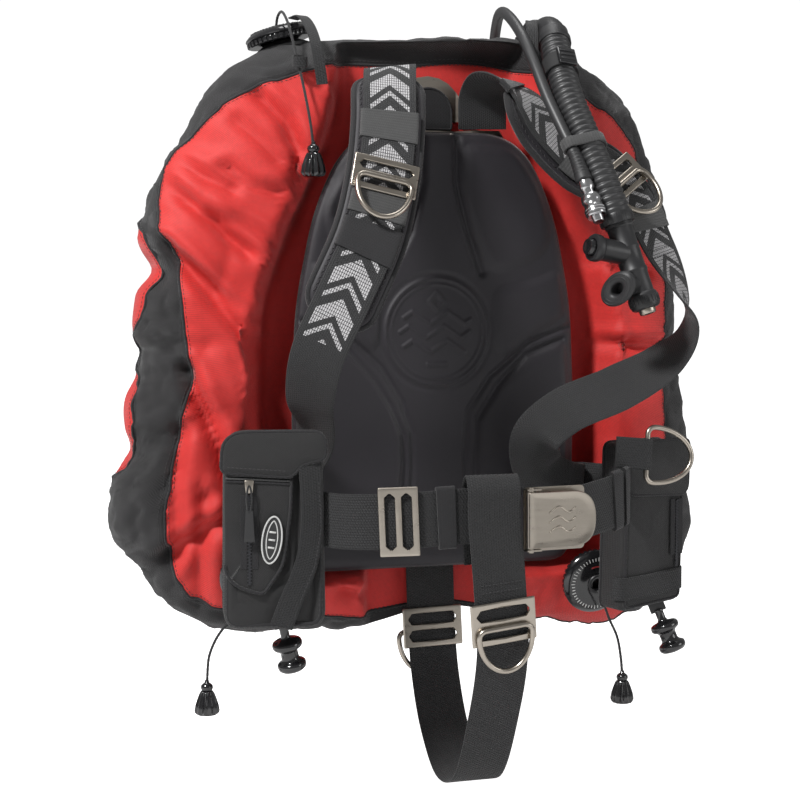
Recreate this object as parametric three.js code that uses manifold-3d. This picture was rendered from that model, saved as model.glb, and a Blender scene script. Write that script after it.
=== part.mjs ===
// Buoyancy compensator harness: a steel backplate with a back pad, a ring-shaped air cell behind it,
// and a webbing harness with its rings, sliders, buckle, pockets, valves and inflator in front.
// Millimetres. +X is the wearer's left, -Y faces the wearer, +Y faces the cylinder, +Z is up.
// The origin is on the rear face of the backplate's channel, midway between the two cylinder bolts.
import * as THREE from "three";
import { mergeVertices } from "three/addons/utils/BufferGeometryUtils.js";
import Module from "manifold-3d";

const wasm = await Module();
wasm.setup();

// Fits
const touchGap = 0.3; // between pieces that rest on each other
const curveGap = 3.2; // between two bands that bend together
const runningGap = 0.5; // around a pin, a button or a sliding sleeve
const tunnelGap = 1.5; // around webbing in a pocket's tunnel

// Backplate and its pad
const plateThickness = 3;
const plateWidth = 254;
const plateTop = 246;
const plateBottom = -213;
const shoulderHeight = 150;
const shoulderWidth = 150;
const channelDepth = 18;
const channelFloor = 60;
const channelMouth = 96;
const tongueRadius = 36;
const slotLength = 54;
const slotHeight = 9;
const waistSlotX = 115;
const waistSlotZ = -165;
const boltSpacing = 279.4;
const boltDiameter = 8;
const padThickness = 16;
const padWidth = 290;
const padTop = 188;
const padBottom = -238;
const padEdge = 5;
const plateMargin = 18; // the pad reaches at least this far past the plate's edge

// Webbing
const webWidth = 50;
const webThickness = 2;
const shoulderPadWidth = 64;
const shoulderPadThickness = 8;

// Air cell
const cellDepthFront = 58;
const cellDepthRear = 92;
const cellOuterMiddle = 14;
const cellHoleWidth = 124;
const cellHoleHeight = 320;
const shellWall = 1.6;
const bladderWall = 1.2;
const bladderGap = 2.5;
const cellSections = 36;
const cellSides = 12;
const portRadius = 17;

// Metal fittings
const ringWire = 5;
const ringWidth = 56;
const ringDrop = 46;
const sliderBar = 6;
const sliderThickness = 3;
const buckleLength = 60;
const buckleHeight = 52;
const bucklePinRadius = 2.5;
const buckleWall = 1.5;

// Valves and hoses
const valveRadius = 33;
const valveHeight = 15;
const poppetThickness = 2.5;
const cordRadius = 1.3;
const knobRadius = 12;
const knobLength = 29;
const hoseRadius = 15;
const pressureHoseRadius = 5.5;
const barrelRadius = 12;
const barrelLength = 84;
const buttonRadius = 8;

const vec = (x, y, z) => new THREE.Vector3(x, y, z);

const finishes = {
  steel: { color: 0xada59a, roughness: 0.35, metalness: 1 },
  webbing: { color: 0x2e2e30, roughness: 0.85, metalness: 0 },
  padding: { color: 0x2f2a30, roughness: 0.8, metalness: 0 },
  red_cloth: { color: 0xf04340, roughness: 0.75, metalness: 0 },
  black_cloth: { color: 0x39373a, roughness: 0.8, metalness: 0 },
  bladder: { color: 0x55585c, roughness: 0.5, metalness: 0 },
  black_plastic: { color: 0x151516, roughness: 0.25, metalness: 0 },
  rubber: { color: 0x2b2b2c, roughness: 0.6, metalness: 0 },
  chrome: { color: 0xd8d8da, roughness: 0.12, metalness: 1 },
};

const assembly = new THREE.Group();

function addPiece(name, geometry, finish, parent = assembly) {
  const piece = new THREE.Mesh(geometry, new THREE.MeshStandardMaterial(finishes[finish]));
  piece.name = name;
  parent.add(piece);
  return piece;
}

// ---- Solids and booleans ----

function bare(geometry) {
  const copy = geometry.clone();
  copy.deleteAttribute("normal");
  copy.deleteAttribute("uv");
  return mergeVertices(copy, 1e-3);
}

function toSolid(geometry) {
  const merged = bare(geometry);
  const triVerts = new Uint32Array(merged.index.array);
  const vertProperties = new Float32Array(merged.attributes.position.array);
  return new wasm.Manifold(new wasm.Mesh({ numProp: 3, vertProperties, triVerts }));
}

function toGeometry(solid) {
  const mesh = solid.getMesh();
  const geometry = new THREE.BufferGeometry();
  geometry.setAttribute("position", new THREE.BufferAttribute(mesh.vertProperties, 3));
  geometry.setIndex(new THREE.BufferAttribute(mesh.triVerts, 1));
  return geometry;
}

const joined = (...parts) => toGeometry(parts.map(toSolid).reduce((a, b) => a.add(b)));
const cut = (body, ...tools) =>
  toGeometry(tools.map(toSolid).reduce((a, b) => a.subtract(b), toSolid(body)));
const common = (a, b) => toGeometry(toSolid(a).intersect(toSolid(b)));

// ---- Shapes ----

// A flat outline in X and Z, given a thickness from yFront back to yRear.
function slab(outline, yFront, yRear, segments = 6, bevel = 0) {
  const geometry = new THREE.ExtrudeGeometry(outline, {
    depth: yRear - yFront - 2 * bevel,
    curveSegments: segments,
    bevelEnabled: bevel > 0,
    bevelThickness: bevel,
    bevelSize: bevel,
    bevelOffset: -bevel,
    bevelSegments: 2,
  });
  return geometry.rotateX(Math.PI / 2).translate(0, yRear - bevel, 0);
}

function roundedRectangle(width, height, radius, x = 0, z = 0, Kind = THREE.Shape) {
  const shape = new Kind();
  const [left, right, low, high] = [x - width / 2, x + width / 2, z - height / 2, z + height / 2];
  shape.moveTo(left + radius, low);
  shape.lineTo(right - radius, low);
  shape.absarc(right - radius, low + radius, radius, -Math.PI / 2, 0, false);
  shape.lineTo(right, high - radius);
  shape.absarc(right - radius, high - radius, radius, 0, Math.PI / 2, false);
  shape.lineTo(left + radius, high);
  shape.absarc(left + radius, high - radius, radius, Math.PI / 2, Math.PI, false);
  shape.lineTo(left, low + radius);
  shape.absarc(left + radius, low + radius, radius, Math.PI, 1.5 * Math.PI, false);
  return shape;
}

// A turned piece about +Z; its profile is a list of [radius, height].
function turned(profile, sides = 20) {
  const points = profile.map(([radius, height]) => new THREE.Vector2(radius, height));
  return new THREE.LatheGeometry(points, sides).rotateX(Math.PI / 2);
}

// Turns +Z to the given direction and moves the origin to the given place.
function aim(target, place, direction) {
  target.quaternion.setFromUnitVectors(vec(0, 0, 1), direction.clone().normalize());
  target.position.copy(place);
  return target;
}

function aimed(geometry, place, direction) {
  const holder = aim(new THREE.Object3D(), place, direction);
  holder.updateMatrix();
  return geometry.applyMatrix4(holder.matrix);
}

// A round tube along a smooth curve through the given places.
function tube(places, radius, steps, sides = 10) {
  const section = new THREE.Shape();
  for (let i = 0; i < sides; i++) {
    const angle = (2 * Math.PI * i) / sides;
    const [x, y] = [radius * Math.cos(angle), radius * Math.sin(angle)];
    if (i === 0) section.moveTo(x, y);
    else section.lineTo(x, y);
  }
  const extrudePath = new THREE.CatmullRomCurve3(places.map((p) => vec(...p)), false, "centripetal");
  return new THREE.ExtrudeGeometry(section, { steps, extrudePath });
}

// Webbing runs through stations [x, y, z, nx, ny, nz]: a place, and the way the outer face looks there.
function stationFrame(stations, share) {
  const middles = stations.map((s) => vec(s[0], s[1], s[2]));
  const places = new THREE.CatmullRomCurve3(middles, false, "centripetal");
  const faces = new THREE.CatmullRomCurve3(stations.map((s) => vec(s[3], s[4], s[5])));
  const place = places.getPoint(share);
  const along = places.getTangent(share);
  const across = faces.getPoint(share).cross(along).normalize();
  const outward = along.clone().cross(across);
  return { place, along, across, outward };
}

// A band bent along its stations: a long box whose cross-sections follow the frame at each step.
function band(stations, { width, thickness, steps, lift = 0, from = 0, to = 1 }) {
  const geometry = bare(new THREE.BoxGeometry(width, thickness, 1, 1, 1, steps));
  const corner = vec(0, 0, 0);
  const position = geometry.attributes.position;
  for (let i = 0; i < position.count; i++) {
    corner.fromBufferAttribute(position, i);
    const frame = stationFrame(stations, from + (to - from) * (corner.z + 0.5));
    frame.place.addScaledVector(frame.across, corner.x);
    frame.place.addScaledVector(frame.outward, corner.y + lift);
    position.setXYZ(i, frame.place.x, frame.place.y, frame.place.z);
  }
  return geometry;
}

// A group on a band, with its X across the band, its -Y outward and its Z back along the band.
function seatOnBand(stations, share) {
  const { place, along, across, outward } = stationFrame(stations, share);
  const seat = new THREE.Group();
  const basis = new THREE.Matrix4().makeBasis(across, outward.negate(), along.negate());
  seat.quaternion.setFromRotationMatrix(basis);
  seat.position.copy(place);
  assembly.add(seat);
  return seat;
}

// A closed wire whose middle follows a closed outline in X and Z.
function wireLoop(outline, radius, steps = 22, sides = 6) {
  const geometry = new THREE.TorusGeometry(1, 0.1, sides, steps);
  const position = geometry.attributes.position;
  for (let side = 0; side <= sides; side++) {
    for (let step = 0; step <= steps; step++) {
      const share = (step % steps) / steps;
      const middle = outline.getPointAt(share);
      const tangent = outline.getTangentAt(share);
      const angle = (2 * Math.PI * (side % sides)) / sides;
      const outwards = radius * Math.cos(angle);
      const x = middle.x + tangent.y * outwards;
      const z = middle.y - tangent.x * outwards;
      position.setXYZ(side * (steps + 1) + step, x, -radius * Math.sin(angle), z);
    }
  }
  return bare(geometry);
}

// A D-shaped outline that hangs below its straight bar.
function ringOutline(width, drop) {
  const half = (width - ringWire) / 2;
  const corner = 7;
  const bow = drop - ringWire - corner;
  const outline = new THREE.Shape();
  outline.moveTo(0, 0);
  outline.lineTo(-half + corner, 0);
  outline.absarc(-half + corner, -corner, corner, Math.PI / 2, Math.PI, false);
  outline.absellipse(0, -corner, half, bow, Math.PI, 2 * Math.PI, false);
  outline.absarc(half - corner, -corner, corner, 0, Math.PI / 2, false);
  outline.lineTo(0, 0);
  return outline;
}

// A three-bar slider: a rounded frame with two windows.
function sliderPlate(width, height, yFront) {
  const outline = roundedRectangle(width, height, 4);
  const window = (height - 3 * sliderBar) / 2;
  for (const side of [-1, 1]) {
    const z = (side * (window + sliderBar)) / 2;
    outline.holes.push(
      roundedRectangle(width - 2 * sliderBar, window, 1.5, 0, z, THREE.Path),
    );
  }
  return slab(outline, yFront, yFront + sliderThickness, 2);
}

// ---- Backplate, bolts and pad ----

const flatRear = -channelDepth;
const flatFront = flatRear - plateThickness;

function plateOutline() {
  const half = plateWidth / 2;
  const shoulder = shoulderWidth / 2;
  const neckHeight = plateTop - tongueRadius;
  const outline = new THREE.Shape();
  outline.moveTo(-half + 20, plateBottom);
  outline.lineTo(half - 20, plateBottom);
  outline.quadraticCurveTo(half, plateBottom, half, plateBottom + 20);
  outline.lineTo(half, -20);
  outline.quadraticCurveTo(half, 60, shoulder + 8, shoulderHeight);
  outline.quadraticCurveTo(shoulder, neckHeight, tongueRadius, neckHeight);
  outline.absarc(0, neckHeight, tongueRadius, 0, Math.PI, false);
  outline.quadraticCurveTo(-shoulder, neckHeight, -shoulder - 8, shoulderHeight);
  outline.quadraticCurveTo(-half, 60, -half, -20);
  outline.lineTo(-half, plateBottom + 20);
  outline.quadraticCurveTo(-half, plateBottom, -half + 20, plateBottom);
  return outline;
}

function plateSection() {
  const [half, floor, mouth] = [plateWidth / 2 + 1, channelFloor / 2, channelMouth / 2];
  const section = new THREE.Shape();
  section.moveTo(-half, flatRear);
  section.lineTo(-half, flatFront);
  section.lineTo(-mouth + 1, flatFront);
  section.lineTo(-floor + 1, -plateThickness);
  section.lineTo(floor - 1, -plateThickness);
  section.lineTo(mouth - 1, flatFront);
  section.lineTo(half, flatFront);
  section.lineTo(half, flatRear);
  section.lineTo(mouth, flatRear);
  section.lineTo(floor, 0);
  section.lineTo(-floor, 0);
  section.lineTo(-mouth, flatRear);
  return section;
}

function boltHole(side) {
  const radius = boltDiameter / 2 + runningGap;
  const drill = turned([[0, -12], [radius, -12], [radius, 12], [0, 12]], 16);
  return aimed(drill, vec(0, 0, (side * boltSpacing) / 2), vec(0, 1, 0));
}

function backplate() {
  const height = plateTop - plateBottom;
  const folded = new THREE.ExtrudeGeometry(plateSection(), { depth: height, bevelEnabled: false });
  folded.translate(0, 0, plateBottom);
  const blank = common(folded, slab(plateOutline(), flatFront - 5, 5, 5));
  const through = (shape) => slab(shape, flatFront - 5, 5, 3);
  const slots = [];
  for (const side of [-1, 1]) {
    const waist = roundedRectangle(slotHeight, slotLength, 4, side * waistSlotX, waistSlotZ);
    slots.push(through(waist));
    const shoulder = roundedRectangle(slotLength, slotHeight, 4, side * 49, padTop + 9);
    slots.push(through(shoulder));
    slots.push(boltHole(side));
  }
  slots.push(through(roundedRectangle(slotLength, slotHeight, 4, 0, plateBottom + 16)));
  return cut(blank, ...slots);
}

function padOutline() {
  const half = padWidth / 2;
  const outline = new THREE.Shape();
  outline.moveTo(-half + 22, padBottom);
  outline.lineTo(half - 22, padBottom);
  outline.quadraticCurveTo(half, padBottom, half, padBottom + 28);
  outline.lineTo(half, -76);
  outline.quadraticCurveTo(half - 6, 30, half - 22, 110);
  outline.quadraticCurveTo(half - 42, padTop, half - 78, padTop);
  outline.lineTo(-half + 78, padTop);
  outline.quadraticCurveTo(-half + 42, padTop, -half + 22, 110);
  outline.quadraticCurveTo(-half + 6, 30, -half, -76);
  outline.lineTo(-half, padBottom + 28);
  outline.quadraticCurveTo(-half, padBottom, -half + 22, padBottom);
  return outline;
}

// Two layers of webbing leave the waist slots between the plate and the pad.
const innerLayerY = flatFront - touchGap - webThickness / 2;
const outerLayerY = innerLayerY - webThickness - touchGap;
const padRear = outerLayerY - webThickness / 2 - 2 * touchGap;
const padFront = padRear - padThickness;
const panelRear = touchGap + shellWall;
const sideEdge = Math.max(padWidth / 2, plateWidth / 2 + plateMargin); // what the cell and belt clear

addPiece("backplate", backplate(), "steel");
addPiece("back_pad", slab(padOutline(), padFront, padRear, 5, padEdge), "padding");

for (const [place, side] of [["upper", 1], ["lower", -1]]) {
  const seat = aim(new THREE.Group(), vec(0, 0, (side * boltSpacing) / 2), vec(0, 1, 0));
  assembly.add(seat);
  const [shank, head] = [boltDiameter / 2, boltDiameter];
  const headSeat = panelRear + touchGap;
  const bolt = [
    [0, -15],
    [shank, -15],
    [shank, headSeat],
    [head, headSeat],
    [head * 0.9, headSeat + 3.5],
    [0, headSeat + 4.5],
  ];
  addPiece(`cell_bolt_${place}`, turned(bolt, 16), "steel", seat);
  const nutSeat = -plateThickness - touchGap;
  const bore = shank + touchGap;
  const nut = [
    [bore, nutSeat - 9],
    [head * 0.8, nutSeat - 9],
    [head, nutSeat - 2],
    [head * 1.4, nutSeat - 2],
    [head * 1.4, nutSeat],
    [bore, nutSeat],
    [bore, nutSeat - 9],
  ];
  addPiece(`cell_nut_${place}`, turned(nut, 12), "steel", seat);
}

// ---- Air cell: a ring of cloth with a bladder inside, closed across its hole by a flat panel ----

const cellOutline = new THREE.CatmullRomCurve3(
  [
    [-20, 283],
    [-185, 256],
    [-272, 128],
    [-291, 10],
    [-302, -100],
    [-314, -200],
    [-238, -286],
    [-95, -305],
    [16, -286],
    [120, -305],
    [228, -308],
    [298, -215],
    [278, -45],
    [266, 92],
    [212, 232],
    [105, 287],
  ].map(([x, z]) => vec(x, 0, z)),
  true,
);

function holeEdge(x, z, grow = 0) {
  const [half, high] = [cellHoleWidth / 2 + grow, cellHoleHeight / 2 + grow];
  const angle = Math.atan2(z / high, x / half);
  return vec(half * Math.cos(angle), 0, high * Math.sin(angle));
}

// How far forward the cell may bulge: it stays behind the plate, the pad and the crotch webbing,
// with room for the belt to come round the pad's edge, and swells beyond them.
const belowBelt = -76;
const valleyStart = 20;
const valleyEnd = 54;

function forwardLimit(x, z) {
  const narrowing = THREE.MathUtils.smoothstep(z, -20, padTop + 60);
  const half = THREE.MathUtils.lerp(sideEdge, shoulderWidth / 2 - 10, narrowing);
  const besidePad = Math.max(Math.abs(x) - half, z - plateTop, padBottom - z + valleyStart + 12);
  const besideWebbing = z < belowBelt ? Math.abs(x) - webWidth / 2 - 12 : Infinity;
  const aside = Math.min(besidePad, besideWebbing);
  const swell = THREE.MathUtils.smoothstep(aside, valleyStart, valleyEnd);
  return THREE.MathUtils.lerp(touchGap + 0.7, -cellDepthFront, swell);
}

// A point on the cell: a turn around the ring, an angle around the tube, and a depth under the skin.
function cellPoint(turn, angle, depth) {
  const rim = cellOutline.getPoint(((turn % 1) + 1) % 1);
  const hole = holeEdge(rim.x, rim.z);
  const middle = rim.clone().add(hole).multiplyScalar(0.5);
  const half = rim.distanceTo(hole) / 2 - depth;
  const outwards = rim.clone().sub(hole).normalize();
  const [c, s] = [Math.cos(angle), Math.sin(angle)];
  const point = middle.addScaledVector(outwards, half * Math.sign(c) * Math.abs(c) ** 0.85);
  const rest = THREE.MathUtils.lerp(touchGap + shellWall / 2, cellOuterMiddle, (c + 1) / 2);
  const swell = (s > 0 ? cellDepthFront : cellDepthRear) - depth;
  point.y = rest - swell * Math.sign(s) * Math.abs(s) ** 0.85;
  point.y = Math.max(point.y, forwardLimit(point.x, point.z) + depth);
  return point;
}

function cellSkin(depth) {
  const geometry = new THREE.TorusGeometry(1, 0.1, cellSides, cellSections);
  const position = geometry.attributes.position;
  for (let side = 0; side <= cellSides; side++) {
    for (let section = 0; section <= cellSections; section++) {
      const angle = (2 * Math.PI * (side % cellSides)) / cellSides;
      const point = cellPoint((section % cellSections) / cellSections, angle, depth);
      position.setXYZ(side * (cellSections + 1) + section, point.x, point.y, point.z);
    }
  }
  return bare(geometry);
}

// Each port is at the point of the skin nearest to a place, and faces its own way.
const portPlaces = {
  upper: { near: [-147, 22, 275], facing: [-0.24, 0.06, 0.97] },
  lower_right: { near: [-190, -60, -236], facing: [-0.05, -0.97, -0.25] },
  lower_left: { near: [160, -60, -262], facing: [0, -0.98, -0.2] },
  inflator: { near: [124, 16, 292], facing: [0.15, 0, 0.99] },
};

function portFrame({ near, facing }) {
  const wanted = vec(...near);
  const [turns, angles] = [180, 90];
  let place = cellPoint(0, 0, 0);
  for (let i = 0; i < turns; i++) {
    for (let j = 0; j < angles; j++) {
      const point = cellPoint(i / turns, (2 * Math.PI * j) / angles, 0);
      if (point.distanceTo(wanted) < place.distanceTo(wanted)) place = point;
    }
  }
  return { place, direction: vec(...facing).normalize() };
}

const ports = Object.fromEntries(
  Object.entries(portPlaces).map(([name, wanted]) => [name, portFrame(wanted)]),
);
const portLift = 4; // how far a port's neck stands out of the cloth

function portCutter(radius, { place, direction }) {
  const reach = 45;
  const column = turned([[0, -reach], [radius, -reach], [radius, reach], [0, reach]], 12);
  return aimed(column, place, direction);
}

function neckRing({ place, direction }) {
  const depth = -(shellWall + bladderGap + bladderWall + 12);
  const profile = [
    [portRadius - 4, depth],
    [portRadius, depth],
    [portRadius, portLift],
    [portRadius - 4, portLift],
    [portRadius - 4, depth],
  ];
  return aimed(turned(profile, 12), place, direction);
}

function shell() {
  const edge = [];
  for (let section = 0; section < cellSections; section++) {
    const point = cellPoint(section / cellSections, Math.PI, shellWall / 2);
    edge.push(new THREE.Vector2(point.x, point.z));
  }
  const panel = slab(new THREE.Shape(edge), touchGap, panelRear);
  const holes = Object.values(ports).map((port) => portCutter(portRadius + runningGap, port));
  holes.push(boltHole(1), boltHole(-1));
  const hollow = cut(cellSkin(0), cellSkin(shellWall));
  return cut(joined(hollow, panel), ...holes);
}

function bladder() {
  const outer = shellWall + bladderGap;
  const skins = cut(cellSkin(outer), cellSkin(outer + bladderWall));
  const all = Object.values(ports);
  const drilled = cut(skins, ...all.map((port) => portCutter(portRadius - 2, port)));
  return joined(drilled, ...all.map(neckRing));
}

addPiece("cell_shell", shell(), "red_cloth");
addPiece("cell_bladder", bladder(), "bladder");

// ---- Harness webbing ----

const farY = outerLayerY;
const nearY = innerLayerY;
const slotExit = sideEdge - 11; // past the plate's edge
const turnX = sideEdge + 7; // past the pad's edge
const turnY = -27; // the outer layer of webbing turns round the inner one
const routes = {
  shoulder_right: [
    [-49, -26, padTop + 5, 0, 1, 0],
    [-49, -31, 232, 0, 0.8, 0.6],
    [-54, -52, 247, -0.1, 0, 1],
    [-62, -78, 227, -0.1, -0.8, 0.6],
    [-68, -98, 188, -0.1, -1, 0.2],
    [-79, -118, 138, -0.1, -1, 0.1],
    [-97, -136, 85, -0.2, -1, 0],
    [-125, -148, 31, -0.3, -1, 0],
    [-148, -140, -22, -0.4, -0.9, 0],
    [-149, -112, -66, -0.6, -0.8, 0],
    [-136, -78, -104, -0.8, -0.6, 0],
    [-turnX + 4, -56, -140, -1, -0.2, 0],
    [-turnX - 2, -40, -160, -1, 0.3, 0],
    [-turnX + 2, turnY, waistSlotZ, -0.6, 0.8, 0],
    [-slotExit, farY, waistSlotZ, 0, 1, 0],
    [-waistSlotX, farY, waistSlotZ, 0, 1, 0],
  ],
  shoulder_left: [
    [49, -26, padTop + 5, 0, 1, 0],
    [48, -33, 228, 0, 0.8, 0.6],
    [54, -52, 240, 0.2, 0, 1],
    [74, -66, 226, 0.35, -0.5, 0.7],
    [100, -76, 192, 0.3, -0.9, 0.4],
    [127, -83, 165, 0.3, -0.9, 0.3],
    [157, -92, 148, 0.3, -1, 0.25],
    [180, -104, 118, 0.35, -1, 0.15],
    [197, -120, 76, 0.5, -0.9, 0],
    [217, -134, 26, 0.8, -0.6, 0],
    [216, -141, -5, 0.9, 0, -0.4],
    [193, -141, -32, 0.5, 0.5, -0.7],
    [149, -133, -58, 0.2, 0.8, -0.6],
    [103, -112, -81, 0.2, 0.8, -0.5],
    [84, -88, -108, 0.3, 0.8, -0.4],
    [96, -66, -142, 0.3, 0.9, -0.1],
    [128, -54, -160, 0, 1, 0],
    [turnX - 2, -46, waistSlotZ, -0.5, 0.8, 0],
    [turnX + 1, -32, waistSlotZ, -1, 0, 0],
    [turnX - 5, turnY + 1.5, waistSlotZ, -0.4, -0.9, 0],
    [slotExit, farY, waistSlotZ, 0, -1, 0],
    [waistSlotX, farY, waistSlotZ, 0, -1, 0],
  ],
  waist_right: [
    [-waistSlotX, nearY, waistSlotZ, 0, 1, 0],
    [-slotExit, nearY, waistSlotZ, 0, 1, 0],
    [-turnX, nearY - 1, waistSlotZ, -0.4, 0.9, 0],
    [-turnX - 14, -46, waistSlotZ, -1, 0.2, 0],
    [-turnX - 12, -100, -167, -1, -0.2, 0],
    [-136, -158, -171, -0.75, -0.65, 0],
    [-87, -190, -169, -0.3, -0.95, 0],
    [-22, -197, -166, 0, -1, 0],
    [24, -198, -169, 0, -1, 0],
  ],
  waist_left: [
    [webWidth / 2 + 7, -198, -170, 0, -1, 0],
    [webWidth / 2 + 41, -197, -170, 0.05, -1, 0],
    [110, -183, -164, 0.35, -0.95, 0],
    [152, -150, -159, 0.8, -0.6, 0],
    [turnX + 20, -100, -161, 1, -0.1, 0],
    [turnX + 16, -46, waistSlotZ, 1, 0.2, 0],
    [turnX, nearY - 1, waistSlotZ, 0.4, 0.9, 0],
    [slotExit, nearY, waistSlotZ, 0, 1, 0],
    [waistSlotX, nearY, waistSlotZ, 0, 1, 0],
  ],
  crotch: [
    [0, -9, -192, 0, 1, 0],
    [0, -10, -240, 0, 1, 0],
    [2, -12, -310, 0, 1, 0],
    [3, -20, -350, 0, 1, -0.15],
    [4, -46, -397, 0, 0.85, -0.5],
    [6, -88, -432, 0, 0.4, -0.9],
    [8, -130, -425, 0, -0.5, -0.9],
    [10, -172, -355, 0, -0.95, -0.3],
    [9, -197, -290, 0, -1, 0],
    [3, -205, -230, 0, -1, 0],
    [-3, -207, -165, 0, -1, 0],
    [-3, -206, -141, 0, -1, 0.2],
    [-3, -198, -130, 0, 0, 1],
    [-3, -189, -141, 0, 1, 0.2],
    [-3, -188, -165, 0, 1, 0],
    [0, -188, -210, 0, 1, 0],
  ],
};

// A step's share of each band, so that a pad under a band bends at the same places.
const bandSteps = {
  shoulder_right: 44,
  shoulder_left: 54,
  waist_right: 22,
  waist_left: 22,
  crotch: 44,
};

for (const [name, steps] of Object.entries(bandSteps)) {
  const [place, side] = name.split("_");
  const label = side ? `${place}_webbing_${side}` : `${place}_webbing`;
  const size = { width: webWidth, thickness: webThickness, steps };
  addPiece(label, band(routes[name], size), "webbing");
}

const padStart = 7; // a shoulder pad begins this many steps along its webbing
const padLift = -(webThickness / 2 + curveGap + shoulderPadThickness / 2);
for (const [side, last] of [["right", 22], ["left", 19]]) {
  const steps = bandSteps[`shoulder_${side}`];
  const cushion = {
    width: shoulderPadWidth,
    thickness: shoulderPadThickness,
    lift: padLift,
    from: padStart / steps,
    to: last / steps,
    steps: last - padStart,
  };
  addPiece(`shoulder_pad_${side}`, band(routes[`shoulder_${side}`], cushion), "padding");
}

// ---- Sliders and rings ----

const sliderRise = 0.018 * webWidth; // a flat fitting stands this far off a curved band
const onWebbing = -(webThickness / 2 + sliderRise); // the outer face of a band, in a seat's Y
const sliderFront = onWebbing - sliderThickness;
const ringBarY = sliderFront - touchGap - ringWire / 2;

function addSlider(name, seat, height) {
  addPiece(name, sliderPlate(webWidth + 2 * sliderBar, height, sliderFront), "steel", seat);
}

function addRing(name, seat, place, lean = 0) {
  const ring = addPiece(name, wireLoop(ringOutline(ringWidth, ringDrop), ringWire / 2), "steel", seat);
  ring.position.copy(place);
  ring.rotation.x = lean;
  return ring;
}

const chestSeats = { right: 0.333, left: 0.3 };
for (const [side, share] of Object.entries(chestSeats)) {
  const seat = seatOnBand(routes[`shoulder_${side}`], share);
  addSlider(`chest_slider_${side}`, seat, 34);
  addRing(`chest_ring_${side}`, seat, vec(0, ringBarY, -4), -0.12);
}

// The front crotch ring hangs over its slider. The rear one hangs behind the webbing, its slider before it.
const crotchFront = seatOnBand(routes.crotch, 0.565);
crotchFront.rotateY(Math.PI);
addSlider("crotch_slider_front", crotchFront, 40);
addRing("crotch_ring_front", crotchFront, vec(0, ringBarY, -4));
const crotchRear = seatOnBand(routes.crotch, 0.126);
addRing("crotch_ring_rear", crotchRear, vec(8, onWebbing - ringWire / 2, -4));
const crotchRearFace = seatOnBand(routes.crotch, 0.126);
crotchRearFace.rotateZ(Math.PI);
addSlider("crotch_slider_rear", crotchRearFace, 40);

addSlider("waist_slider", seatOnBand(routes.waist_right, 0.75), 36);

// The keepers are flat elastic loops closed round a belt.
function keeper(length) {
  const outer = new THREE.BoxGeometry(webWidth + 6, webThickness + 5, length);
  const inner = new THREE.BoxGeometry(webWidth + 1.5, webThickness + 1.5, length + 2);
  return cut(outer, inner);
}

addPiece("waist_keeper_right", keeper(16), "webbing", seatOnBand(routes.waist_right, 0.83));
addPiece("waist_keeper_left", keeper(13), "webbing", seatOnBand(routes.waist_left, 0.31));

// The hip ring lies in a loop of webbing on the left of the belt.
const hipSeat = new THREE.Group();
hipSeat.position.set(172, -150, -121);
hipSeat.rotation.set(0, -Math.PI / 2 + 0.1, 0.12);
assembly.add(hipSeat);
addPiece("hip_ring", wireLoop(ringOutline(ringWidth + 2, ringDrop + 6), ringWire / 2), "steel", hipSeat);

// ---- Cam buckle: a frame on the webbing, a pin, and a lever that closes flat over both ----

const buckle = seatOnBand(routes.waist_left, 0.09);
buckle.rotateY(Math.PI / 2);
const buckleBase = onWebbing - buckleWall;
const cheekOut = 9;
const pinY = buckleBase - cheekOut + bucklePinRadius + 1.5;
const pinX = -buckleLength / 2 + 5;
const cheekZ = buckleHeight / 2;

function buckleFrame() {
  const base = slab(roundedRectangle(buckleLength, 2 * cheekZ + 6, 4), buckleBase, onWebbing, 3);
  const window = slab(roundedRectangle(buckleLength - 22, 2 * cheekZ - 14, 3, 4), -20, 20, 3);
  const cheeks = [];
  for (const side of [-1, 1]) {
    const cheek = new THREE.BoxGeometry(14, cheekOut, buckleWall);
    const z = side * (cheekZ + buckleWall);
    cheeks.push(cheek.translate(pinX + 2, buckleBase - cheekOut / 2 + 0.4, z));
  }
  const bore = turned([
    [0, -cheekZ - 9],
    [bucklePinRadius + touchGap, -cheekZ - 9],
    [bucklePinRadius + touchGap, cheekZ + 9],
    [0, cheekZ + 9],
  ], 12);
  return cut(joined(cut(base, window), ...cheeks), bore.translate(pinX, pinY, 0));
}

function bucklePin() {
  const half = cheekZ + 2 * buckleWall + 0.6;
  const pin = turned([[0, -half], [bucklePinRadius, -half], [bucklePinRadius, half], [0, half]], 12);
  return pin.translate(pinX, pinY, 0);
}

// The lever's own origin is on the pin.
function buckleLever() {
  const half = cheekZ - runningGap;
  const length = buckleLength + 2;
  const face = new THREE.Shape();
  face.moveTo(-4, -half);
  face.lineTo(length - 16, -half);
  face.quadraticCurveTo(length, -half, length, 0);
  face.quadraticCurveTo(length, half, length - 16, half);
  face.lineTo(-4, half);
  const plate = slab(face, -bucklePinRadius - 3.2, -bucklePinRadius - 1.2, 5);
  const hub = bucklePinRadius + runningGap;
  const barrel = turned([
    [hub, -half],
    [hub + 1.6, -half],
    [hub + 1.6, half],
    [hub, half],
    [hub, -half],
  ], 16);
  return joined(plate, barrel);
}

addPiece("buckle_frame", buckleFrame(), "steel", buckle);
addPiece("buckle_pin", bucklePin(), "steel", buckle);
addPiece("buckle_lever", buckleLever(), "steel", buckle).position.set(pinX, pinY, 0);

// ---- Pockets, each threaded on the belt through a tunnel ----

function tunnel(route) {
  const size = { width: webWidth + 2 * tunnelGap, thickness: webThickness + 2 * tunnelGap };
  return band(route, { ...size, steps: 28 });
}

function pouch(outline, depth, place, turn) {
  const body = slab(outline, -depth / 2, depth / 2, 4, 7);
  return body.rotateZ(turn).translate(...place);
}

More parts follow.
